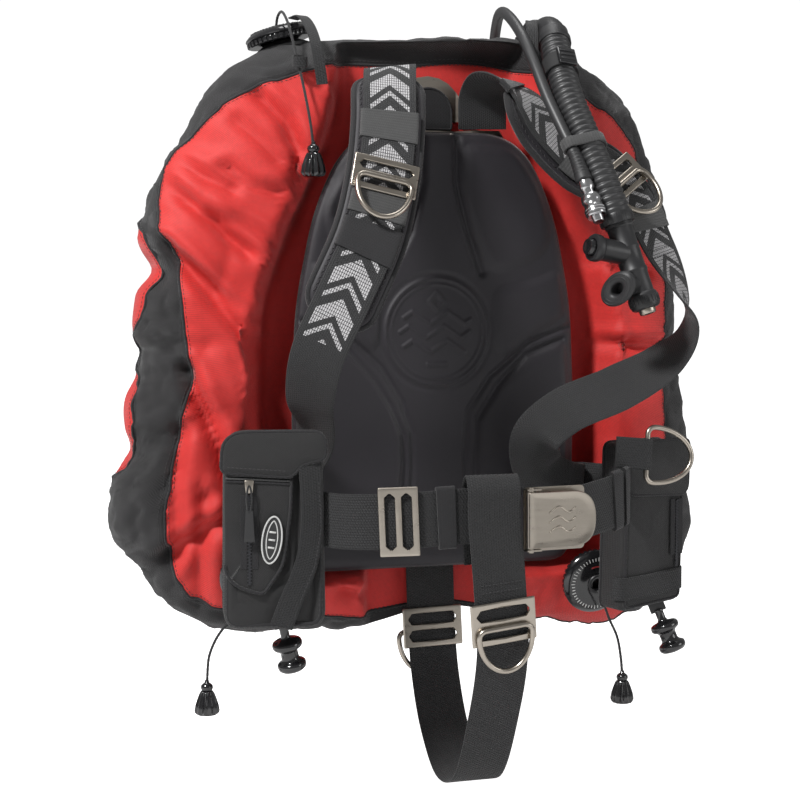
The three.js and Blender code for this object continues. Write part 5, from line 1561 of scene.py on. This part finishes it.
def on_pocket(seat, stations):
    """Stations given in a pocket's own frame, as stations of the whole model."""
    turn = seat.to_3x3()
    return [(*(seat @ Vector((x * MM, y * MM, z * MM)) / MM), *(turn @ Vector(n))) for x, y, z,
        n in stations]


side_band = strap(on_pocket(cargo, [(31, -22.6, 74, (0.1, -1, 0.1)), (33, -25.4, 50, (0.2, -1, 0)),
    (34, -26.0, 5, (0.25, -1, 0)), (28, -26.0, -30, (0.2, -1, 0)), (14, -25.4, -64, (0.1, -1, -0.1)),
    (6, -22.8, -85, (0, -1, -0.2))]), 0.021, 0.0018, 60)
finish(side_band, "cargo_side_band", webbing, angle=50)
seam_on(cargo, [(26, 44), (26, 5), (20, -30), (7, -58)], -27.0, "cargo_band_stitches_1")
seam_on(cargo, [(40, 46), (42, 5), (36, -30), (22, -64)], -26.6, "cargo_band_stitches_2")
print("cargo pocket done")

# %% [markdown]
# The weight pocket is plainer: a wider hem at the foot, a short flap and a zip at its outer edge. Its
# load drops out through the foot when the handle is pulled.

# %% Pockets: weight pocket
weight = turned_place((187, -101, -196), 0.3)
weight_outline = rounded_line([(-37, -81), (41, -75), (45, 83), (-33, 83)], [9, 9, 9, 9], 8)
pillow(weight_outline, 36, 1.2, weight, "weight_pouch", pocket_cloth, slack=0.9, seed=14,
    replaces=("weight_pocket",))
bound_edge(offset_outline(weight_outline, 3.5), -17.0, weight, "weight_front_binding")
bound_edge(offset_outline(weight_outline, 1.0), 15.0, weight, "weight_back_binding", 2.0)
hem = strap(on_pocket(weight, [(-40, -8, -58, (-0.9, -0.4, 0)), (-36, -18, -58, (-0.5, -0.9, 0)),
    (-20, -20.6, -57, (0, -1, 0)), (0, -20.8, -56, (0, -1, 0)), (22, -20.6, -54, (0, -1, 0)),
    (40, -18, -53, (0.5, -0.9, 0)), (45, -8, -53, (0.9, -0.4, 0))]), 0.022, 0.0018, 50)
finish(hem, "weight_hem", webbing, angle=50)
seam_on(weight, [(-33, -48), (0, -46), (36, -44)], -22.0, "weight_hem_stitches_1")
seam_on(weight, [(-33, -67), (0, -66), (36, -63)], -21.4, "weight_hem_stitches_2")
weight_flap = rounded_line([(-35, 34), (44, 30), (46, 85), (-34, 85)], [12, 12, 8, 8], 7)
pillow(weight_flap, 4, 1.2, weight @ moved(0, -21.4, 0), "weight_flap", pocket_cloth, slack=0.6, seed=21,
    edge=2.0)
bound_edge(weight_flap, -22.0, weight, "weight_flap_binding", 1.5)
zip_run(weight, 31, -20.6, 26, -40, "weight_zip")
print("weight pocket done")

# %% [markdown]
# Turned plastic parts come next: valves, knobs and spools. Each starts as a profile in edit mode and is
# spun round its axis. The valve cage then gets a row of ribs, laid round it all at once as small blocks.

# %% Turned parts: helpers
def seat_from(origin, axis, across=None):
    """A frame with its origin in metres, Z along axis and X as near as it can be to across."""
    z = Vector(axis).normalized()
    x = Vector(across) if across is not None else Vector((1, 0, 0))
    x = (x - z * x.dot(z)).normalized()
    y = z.cross(x)
    return Matrix(((x.x, y.x, z.x, origin[0]), (x.y, y.y, z.y, origin[1]), (x.z, y.z, z.z, origin[2]),
        (0, 0, 0, 1)))


def lathe(profile, seat, steps=40):
    """Spins a profile of (radius, height) in millimetres round the seat's Z."""
    mesh = bpy.data.meshes.new("profile")
    mesh.from_pydata([(r * MM, 0, h * MM) for r, h in profile],
        [(k, k + 1) for k in range(len(profile) - 1)], [])
    piece = bpy.data.objects.new("profile", mesh)
    scene.collection.objects.link(piece)
    select_only(piece)
    bpy.ops.object.mode_set(mode="EDIT")
    bpy.ops.mesh.select_all(action="SELECT")
    bpy.ops.mesh.spin(steps=steps, angle=2 * math.pi, center=(0, 0, 0), axis=(0, 0, 1))
    bpy.ops.mesh.select_all(action="SELECT")
    bpy.ops.mesh.remove_doubles(threshold=0.00001)
    bpy.ops.mesh.normals_make_consistent(inside=False)
    bpy.ops.object.mode_set(mode="OBJECT")
    piece.data.transform(seat)
    return piece


def fluted(profile, seat, count, depth, steps=96):
    """Rings of (radius, height, flute share) whose radius waves round the axis."""
    a = np.linspace(0, 2 * math.pi, steps, endpoint=False)
    rings = []
    for r, h, share in profile:
        radius = r - depth * share * (0.5 + 0.5 * np.cos(count * a)) ** 0.7
        rings.append(np.stack([radius * np.cos(a), radius * np.sin(a), 0 * a + h], 1) * MM)
    piece = skin(rings)
    piece.data.transform(seat)
    return piece


# %% [markdown]
# A valve cage is a ribbed disc over a poppet, and the cord comes out of its middle. Tick marks stand in
# for the printed words round the rim.

# %% Turned parts: dump valves
valve_seats = {"upper": seat_from((-0.14310, 0.02379, 0.27610), (-0.2397, 0.0599, 0.9690)),
    "lower_right": seat_from((-0.18848, -0.04646, -0.23429), (-0.0499, -0.9672, -0.2493)),
    "lower_left": seat_from((0.16084, -0.04651, -0.25711), (0.0, -0.9798, -0.2)),}
for name, seat in valve_seats.items():
    flange = lathe([(16.5, -9), (26, -8), (27, -5), (24, -3.4), (17.4, 0.2), (16.5, 0.2), (16.5, -9)], seat,
        48)
    finish(flange, f"dump_flange_{name}", rubber, angle=40)
    cage = lathe([(14, 0.3), (30.5, 0.3), (31.2, 1.0), (31.2, 5.4), (32.6, 6.2), (33.2, 7.4), (32.4, 9.0),
        (29.2, 11.6), (27.0, 12.8), (22.5, 14.2), (14.5, 15.0), (6.6, 15.0), (5.6, 14.6), (5.2, 13.8),
        (5.2, 12.5), (24, 11.5), (24, 3), (14, 3), (14, 0.3)], seat, 64)
    finish(cage, f"dump_cage_{name}", gloss, replaces=(f"dump_valve_{name}",), angle=35)
    around = np.linspace(0, 2 * math.pi, 36, endpoint=False)
    ribs = blocks([((31.6 * math.cos(a), 31.6 * math.sin(a), 3.4), (2.0, 3.4, 4.4), a) for a in around],
        seat)
    bevelled(ribs, 0.0005, 2)
    finish(ribs, f"dump_ribs_{name}", gloss, angle=40)
    ticks = [((25.2 * math.cos(a), 25.2 * math.sin(a), 13.55), (3.0 if k % 3 else 4.4, 0.8, 0.6), a) for k,
        a in enumerate(np.linspace(0, 2 * math.pi, 48, endpoint=False))]
    finish(blocks(ticks, seat), f"dump_ticks_{name}", elastic if name != "lower_left" else label_rubber,
        angle=30)
    arc = np.array([(18.2 * math.cos(a), 18.2 * math.sin(a), 14.7) for a in np.linspace(0.3, 2.0, 30)]) * MM
    mark = hose(arc, 0.0007, 8)
    mark.data.transform(seat)
    finish(mark, f"dump_mark_{name}", warning_red)
    ring = lathe([(7.2, 14.8), (9.6, 14.8), (10.2, 15.6), (9.6, 16.4), (7.6, 16.4), (7.2, 14.8)], seat, 36)
    finish(ring, f"dump_eye_{name}", matte, angle=50)
print("dump valves:", list(valve_seats))

# %% [markdown]
# Each pull knob is a fluted cone under a ball, moulded over the knotted end of the cord.

# %% Turned parts: knobs and cords
for name, path in cord_ends.items():
    end = path[-1]
    seat = seat_from((end[0], end[1], end[2] - 0.0003), (0, 0, 1))
    cone = fluted([(0.3, -29, 0), (7.0, -29, 0), (9.6, -28.4, .3), (11.6, -26.5, 1), (12.0, -24.5, 1),
        (11.0, -19, 1), (9.0, -13, 1), (7.2, -8.5, .9), (6.2, -7.0, .2), (5.4, -6.4, 0), (0.3, -6.4, 0)],
        seat, 11, 2.3)
    finish(cone, f"pull_cone_{name}", gloss, replaces=(f"dump_knob_{name}",), angle=50)
    ball = lathe([(0, -7.2), (3.6, -7.0), (5.2, -5.2), (5.9, -3.0), (5.3, -0.8), (3.6, 0.6), (2.2, 1.6),
        (2.0, 3.4), (1.5, 3.8), (0, 3.8)], seat, 32)
    finish(ball, f"pull_ball_{name}", gloss, angle=50)

# %% [markdown]
# Each release handle is a turned spool on a flat tongue that goes up into the pocket. A gloved hand has
# to find it, so it is large and deeply waisted.

# %% Turned parts: weight release spools
spool_profile = [(0, -1), (4.4, -1), (4.6, 0), (4.2, 1.5), (4.2, 9.0), (5.5, 11.2), (11.5, 12.6),
    (13.2, 13.6), (14.1, 15.6), (14.0, 18.2), (12.8, 19.9), (9.4, 21.6), (8.2, 23.6), (8.2, 30.0),
    (9.4, 32.2), (12.0, 33.6), (13.3, 35.0), (13.4, 38.0), (12.6, 40.2), (10.6, 41.8), (6.0, 42.8),
    (0, 43.0)]
for side, origin, axis in (("right", (-0.176, -0.118, -0.273), (0.25, 0.1, -1)),
    ("left", (0.206, -0.108, -0.281), (0.35, -0.2, -1))):
    seat = seat_from(origin, axis)
    body = f"release_handle_{side}"
    finish(lathe(spool_profile, seat, 48), f"release_spool_{side}", gloss, body=body,
        replaces=(body,), angle=50)
    tabs = blocks([((0, 0, -9), (16, 2.6, 20), 0.3)], seat)
    bevelled(tabs, 0.0009, 3)
    finish(tabs, f"release_tongue_{side}", matte, body=body, angle=40)
print("spools done")

# %% [markdown]
# The inflator group runs from the elbow on top of the cell to the mouthpiece. The elbow is a moulded cap
# with one outlet. The hose is clamped on it and tied again lower down, where a band also holds the low-
# pressure hose.

# %% Inflator: elbow
port = np.array((0.12307, 0.01400, 0.28236))
elbow_seat = seat_from(port, (0.1498, 0.0, 0.9887), (0, -1, 0))
finish(lathe([(15, -9), (27, -8), (28, -5), (25, -3.2), (17, 0.2), (15, 0.2), (15, -9)], elbow_seat, 48),
    "elbow_flange", rubber, angle=40)
finish(lathe([(0, -1), (23.2, -1), (23.6, 0.4), (23.4, 6.0), (21.8, 7.4), (19.5, 8.4), (18.6, 12.0),
    (18.0, 18.0), (16.0, 22.0), (11.0, 24.6), (5.0, 25.4), (0, 25.5)], elbow_seat, 48), "elbow_body", matte,
    replaces=("inflator_elbow",), angle=40)
elbow_ribs = blocks([((23.2 * math.cos(a), 23.2 * math.sin(a), 3.2), (1.8, 2.6, 5.0), a)
    for a in np.linspace(0, 2 * math.pi, 24, endpoint=False)], elbow_seat)
finish(bevelled(elbow_ribs, 0.0005, 2), "elbow_ribs", matte, angle=40)
outlet_start = np.array(elbow_seat @ Vector((0.004, 0, 0.012)))
outlet_line = curve([outlet_start, (hose_path[0] + outlet_start) / 2 + np.array((0, -0.003, 0.004)),
    hose_path[0], hose_path[0] + 0.010 * unit(hose_path[12] - hose_path[0])], np.linspace(0, 1, 30))
finish(hose(outlet_line, 0.0132, 28), "elbow_outlet", matte, angle=40)


def hose_seat(path, share):
    """A frame on a hose, Z along it."""
    k = int(round(share * (len(path) - 1)))
    a, b = max(k - 3, 0), min(k + 3, len(path) - 1)
    return seat_from(path[k], path[b] - path[a], (0, -1, 0))


def band(seat, radius, high, thickness, name, material, slot="black_plastic"):
    half = high / 2
    return finish(lathe([(radius, -half), (radius + thickness * 0.7, -half),
        (radius + thickness, -half + 0.5), (radius + thickness, half - 0.5),
        (radius + thickness * 0.7, half), (radius, half), (radius, -half)], seat, 44), name, material,
        angle=40)


band(hose_seat(hose_path, 0.055), 14.9, 7, 1.5, "hose_clamp_top", matte)
cinch_seat = hose_seat(hose_path, 0.22)
cinch = band(cinch_seat, 15.3, 19, 1.9, "hose_cinch_band", webbing, "webbing")
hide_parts("hose_cinch")
cinch_buckle = blocks([((17.6, 0, 0), (4.4, 19, 21), 0.0)], cinch_seat)
finish(bevelled(cinch_buckle, 0.0014, 3), "hose_cinch_buckle", gloss, angle=40)
cinch_bars = blocks([((19.9, 0, z), (1.4, 15, 2.2), 0.0) for z in (-5.5, 0, 5.5)], cinch_seat)
finish(bevelled(cinch_bars, 0.0006, 2), "hose_cinch_bars", matte, angle=40)
print("elbow and cinch done")

# %% [markdown]
# The retainer is one flat rubber band that passes round both hoses, so it is a strap on a stadium line
# drawn about the two hose centres at that height.

# %% Inflator: retainer
retainer_seat = hose_seat(hose_path, 0.64)
inverse = retainer_seat.inverted()
crossing = min(pressure_path, key=lambda p: abs((inverse @ Vector(p)).z) + (0 if p[1] < -0.05 else 9))
other = inverse @ Vector(crossing)
heading = math.atan2(other.y, other.x)
gap = math.hypot(other.x, other.y) / MM
stations = []
for a in np.linspace(math.pi / 2, 3 * math.pi / 2, 16):
    stations.append((16.6 * math.cos(a), 16.6 * math.sin(a), math.cos(a), math.sin(a)))
for a in np.linspace(-math.pi / 2, math.pi / 2, 14):
    stations.append((gap + 7.4 * math.cos(a), 7.4 * math.sin(a), math.cos(a), math.sin(a)))
stations = np.array(stations)
turn = np.array(((math.cos(heading), -math.sin(heading)), (math.sin(heading), math.cos(heading))))
xy, nn = stations[:, :2] @ turn.T, stations[:, 2:] @ turn.T
rings = []
for (x, y), (nx, ny) in zip(xy, nn):
    rings.append([((x + nx * o) * MM, (y + ny * o) * MM, z * MM) for o,
        z in ((0.9, -5.4), (1.2, -4.8), (1.2, 4.8), (0.9, 5.4), (-0.9, 5.4), (-1.2, 4.8), (-1.2, -4.8),
        (-0.9, -5.4))])
retainer = skin(rings, closed=True)
retainer.data.transform(retainer_seat)
finish(retainer, "hose_retainer_band", elastic, replaces=("hose_retainer",), angle=50)

# %% [markdown]
# The inflator itself is a barrel with a side arm. Its end button lets gas out, its side button lets gas
# in, and both sit in collars. The mouthpiece is a soft oval flange on a short stub.

# %% Inflator: body
body_seat = Matrix(((-0.1842, 0.9474, 0.2617, 0.13908), (0.9474, 0.2421, -0.2094, -0.15206),
    (-0.2617, 0.2094, -0.9422, 0.09672), (0, 0, 0, 1)))
finish(lathe([(0, -1), (11.4, -1), (13.2, 0), (13.2, 3.0), (12.0, 4.2), (12.0, 22), (12.6, 23), (12.6, 25),
    (12.0, 26), (12.0, 44), (12.8, 45.2), (12.8, 48), (12.0, 49.2), (12.0, 68), (13.6, 69.6), (14.2, 71.5),
    (14.2, 80), (13.2, 82.6), (11.0, 84), (8.6, 84), (8.6, 82.6), (0, 82.6)], body_seat, 44),
    "inflator_barrel", matte, replaces=("inflator_body",), angle=35)
grip = blocks([((14.1 * math.cos(a), 14.1 * math.sin(a), 75.8), (1.4, 2.0, 7.0), a)
    for a in np.linspace(0, 2 * math.pi, 22, endpoint=False)], body_seat)
finish(bevelled(grip, 0.0004, 2), "inflator_grip", matte, angle=40)
clamp_teeth = blocks([((15.6 * math.cos(a), 15.6 * math.sin(a), -5.0), (1.8, 2.4, 9.0), a)
    for a in np.linspace(0, 2 * math.pi, 20, endpoint=False)], body_seat)
finish(bevelled(clamp_teeth, 0.0005, 2), "inflator_clamp_teeth", matte, angle=40)
finish(lathe([(14.9, -10), (15.9, -10), (16.2, -9.4), (16.2, -0.8), (15.8, 0), (14.9, 0), (14.9, -10)],
    body_seat, 44), "inflator_clamp", matte, angle=40)
arm_start = body_seat @ Vector((0, 0, 0.030))
inflate_axis = Vector((-0.9710, -0.1816, 0.1553)).normalized()
inflate_place = Vector((0.106, -0.166, 0.075))
arm_length = (inflate_place - arm_start).dot(inflate_axis) / MM
arm_seat = seat_from(arm_start, inflate_axis)
finish(lathe([(0, 0), (10.8, 0), (10.8, arm_length - 10), (12.4, arm_length - 8.4),
    (12.9, arm_length - 6.8), (12.9, arm_length - 2.4), (12.2, arm_length - 1.0), (8.6, arm_length - 0.8),
    (8.6, arm_length - 2.4), (0, arm_length - 2.4)], arm_seat, 40), "inflator_arm", matte,
    angle=35)
for name, place, axis in (("inflate", inflate_place, inflate_axis),
    ("deflate", Vector((0.16106, -0.16965, 0.01758)), Vector((0.2617, -0.2094, -0.9422)))):
    seat = seat_from(place, axis)
    button = lathe([(0, -2.5), (7.6, -2.5), (7.9, -1.8), (7.9, 3.4), (7.2, 4.5), (5.6, 5.0), (4.6, 4.6),
        (3.0, 4.2), (0, 4.0)], seat, 36)
    finish(button, f"{name}_cap", gloss if name == "inflate" else steel,
        body=f"{name}_button", replaces=(f"{name}_button",), angle=40)
    print(name, "button on its own body")

# %% [markdown]
# The mouthpiece is the same kind of spun profile, drawn out sideways into an oval. Two thin rings mark
# the moulded lip.

# %% Inflator: mouthpiece
mouth_seat = Matrix(((-0.3470, 0.4254, -0.8359, 0.15426), (0.7399, -0.4235, -0.5227, -0.16421),
    (-0.5763, -0.7998, -0.1678, 0.04207), (0, 0, 0, 1)))
finish(lathe([(0, 0), (9.4, 0), (9.0, 8), (8.6, 20), (9.8, 22), (9.8, 24), (0, 24)], mouth_seat, 36),
    "mouth_stub", matte, angle=40)
oval = Matrix.Diagonal((1.15, 0.75, 1.0, 1.0))
flange = lathe([(6.2, 24.5), (9.6, 24.5), (10.4, 27.0), (12.5, 29.4), (16.8, 30.0), (18.3, 31.8),
    (18.4, 34.0), (17.2, 36.4), (13.6, 37.4), (9.4, 37.2), (7.2, 36.2), (6.4, 34.6), (6.2, 24.5)],
    mouth_seat @ oval, 48)
finish(flange, "mouth_flange", rubber, replaces=("mouthpiece",), angle=60)
for k, reach_out in enumerate((12.4, 15.6)):
    line = np.array([(reach_out * 1.15 * math.cos(a), reach_out * 0.75 * math.sin(a), 37.1 - 0.3 * k)
        for a in np.linspace(0, 2 * math.pi, 60, endpoint=False)]) * MM
    piece = closed_hose(line, 0.0006, 8)
    piece.data.transform(mouth_seat)
    finish(piece, f"mouth_ring_{k + 1}", rubber)
print("inflator done")

# %% [markdown]
# The quick disconnect is chromed brass: a body, and a knurled sleeve that slides back to free the nipple.
# The sleeve rides on its own body. The first-stage fitting is at the hose's far end.

# %% Inflator: quick disconnect and fitting
coupler_seat = seat_from((0.10703, -0.14715, 0.13574), (0.1166, -0.5053, -0.8551),
    (0.9062, 0.4064, -0.1166))
finish(lathe([(0, 0), (6.2, 0), (7.0, 0.8), (7.0, 7.4), (6.2, 8.6), (5.1, 10), (5.1, 43.4), (4.6, 44),
    (0, 44)], coupler_seat, 40), "coupler_core", chrome, replaces=("coupler_body",), angle=40)
finish(lathe([(5.5, 16), (8.6, 16), (9.1, 16.6), (9.5, 20.6), (9.3, 22.2), (8.6, 23.4), (8.4, 25.6),
    (8.6, 27.6), (9.4, 29.2), (9.6, 31.0), (9.4, 34.5), (9.1, 37.4), (8.6, 38), (5.5, 38), (5.5, 16)],
    coupler_seat, 44), "coupler_collar", chrome, body="coupler_sleeve",
    replaces=("coupler_sleeve",), angle=40)
grooves = lathe([(9.2, 30.2), (9.9, 30.6), (9.9, 31.4), (9.4, 31.8), (9.4, 33.2), (9.9, 33.6), (9.9, 34.4),
    (9.2, 34.8), (9.2, 30.2)], coupler_seat, 44)
finish(grooves, "coupler_grip", chrome, body="coupler_sleeve", angle=40)
print("quick disconnect done")

# %% [markdown]
# A few sewn loops finish the vest: one leads the upper cord over the rim, one holds the elbow's hose
# behind, and one carries the hip ring. A cloth cover also lies over the plate's top, below its bright
# arch.

# %% Trims: sewn loops and the plate's cover
def loop_strap(stations, width, thickness, name, material=None, steps=40):
    piece = strap(stations, width * MM, thickness * MM, steps)
    return finish(piece, name, material or webbing, angle=50)


loop_strap([(-135, 4, 297, 0.1, 0, 1), (-131, -14, 297, 0.1, -0.4, 1), (-128, -34, 285, 0, -1, 0.8),
    (-126, -50, 266, 0, -1, 0.5), (-124, -56, 246, 0, -1, 0.2), (-122, -58, 228, 0, -1, 0.1)], 11, 1.6,
    "cord_guide_strap")
guide = np.array([(-141 + 6.5 * math.cos(a), -47 + 5.5 * math.sin(a), 250 + 1.5 * math.sin(a))
    for a in np.linspace(0, 2 * math.pi, 30, endpoint=False)])
rings = []
for k, p in enumerate(guide):
    a = 2 * math.pi * k / 30
    n = np.array((math.cos(a), math.sin(a), 0))
    rings.append([(p + n * o + np.array((0, 0, z))) * MM for o,
        z in ((0.7, -5), (0.9, 0), (0.7, 5), (-0.7, 5), (-0.7, -5))])
finish(skin(rings, closed=True), "cord_guide_loop", webbing, angle=50)
loop_strap([(104, -16, 302, 0, -0.4, 1), (98, -34, 292, 0, -1, 0.7), (94, -46, 272, 0, -1, 0.3),
    (94, -52, 250, 0, -1, 0.1)], 12, 1.8, "elbow_hose_strap")
hip_loop = strap(on_pocket(hip_seat, [(0, 1.0, 32, (0, 1, 0)), (0, 1.2, 22, (0, 1, 0)),
    (0, 3.8, 9, (0, 1, 0)), (0, 3.7, 1.5, (0, 1, -0.2)), (0, 0, -4.2, (0, 0, -1)),
    (0, -3.7, 1.5, (0, -1, -0.2)), (0, -3.8, 9, (0, -1, 0)), (0, -1.2, 22, (0, -1, 0)),
    (0, -1.0, 32, (0, -1, 0))]), 0.030, 0.0016, 60)
finish(hip_loop, "hip_ring_loop", webbing, angle=50)
neck_line = [(24 * math.cos(a), 210 + 24 * math.sin(a)) for a in np.linspace(0, math.pi, 24)] + [(-24, 194),
    (24, 194)]
flat_disc(neck_line, -3.3, -5.0, Matrix.Identity(4), "plate_neck_cover", lining)
bound_edge(neck_line, -4.6, Matrix.Identity(4), "plate_neck_binding", 1.2)
print("loops and neck cover done")

# %% [markdown]
# Every CAD node that is still shown gets a finish of its own, by name.

# %% CAD finishes
steel_words = ("backplate", "bolt", "nut", "slider", "ring", "buckle")
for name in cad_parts:
    piece = bpy.data.objects[name]
    if piece.hide_render:
        continue
    chosen = matte
    for word in steel_words:
        if word in name:
            chosen = steel
    if "coupler" in name or "fitting" in name:
        chosen = chrome
    if "zip_pull" in name:
        chosen = rubber
    piece.data.materials.clear()
    piece.data.materials.append(chosen)
    print("carried over:", name, "in", chosen.name)
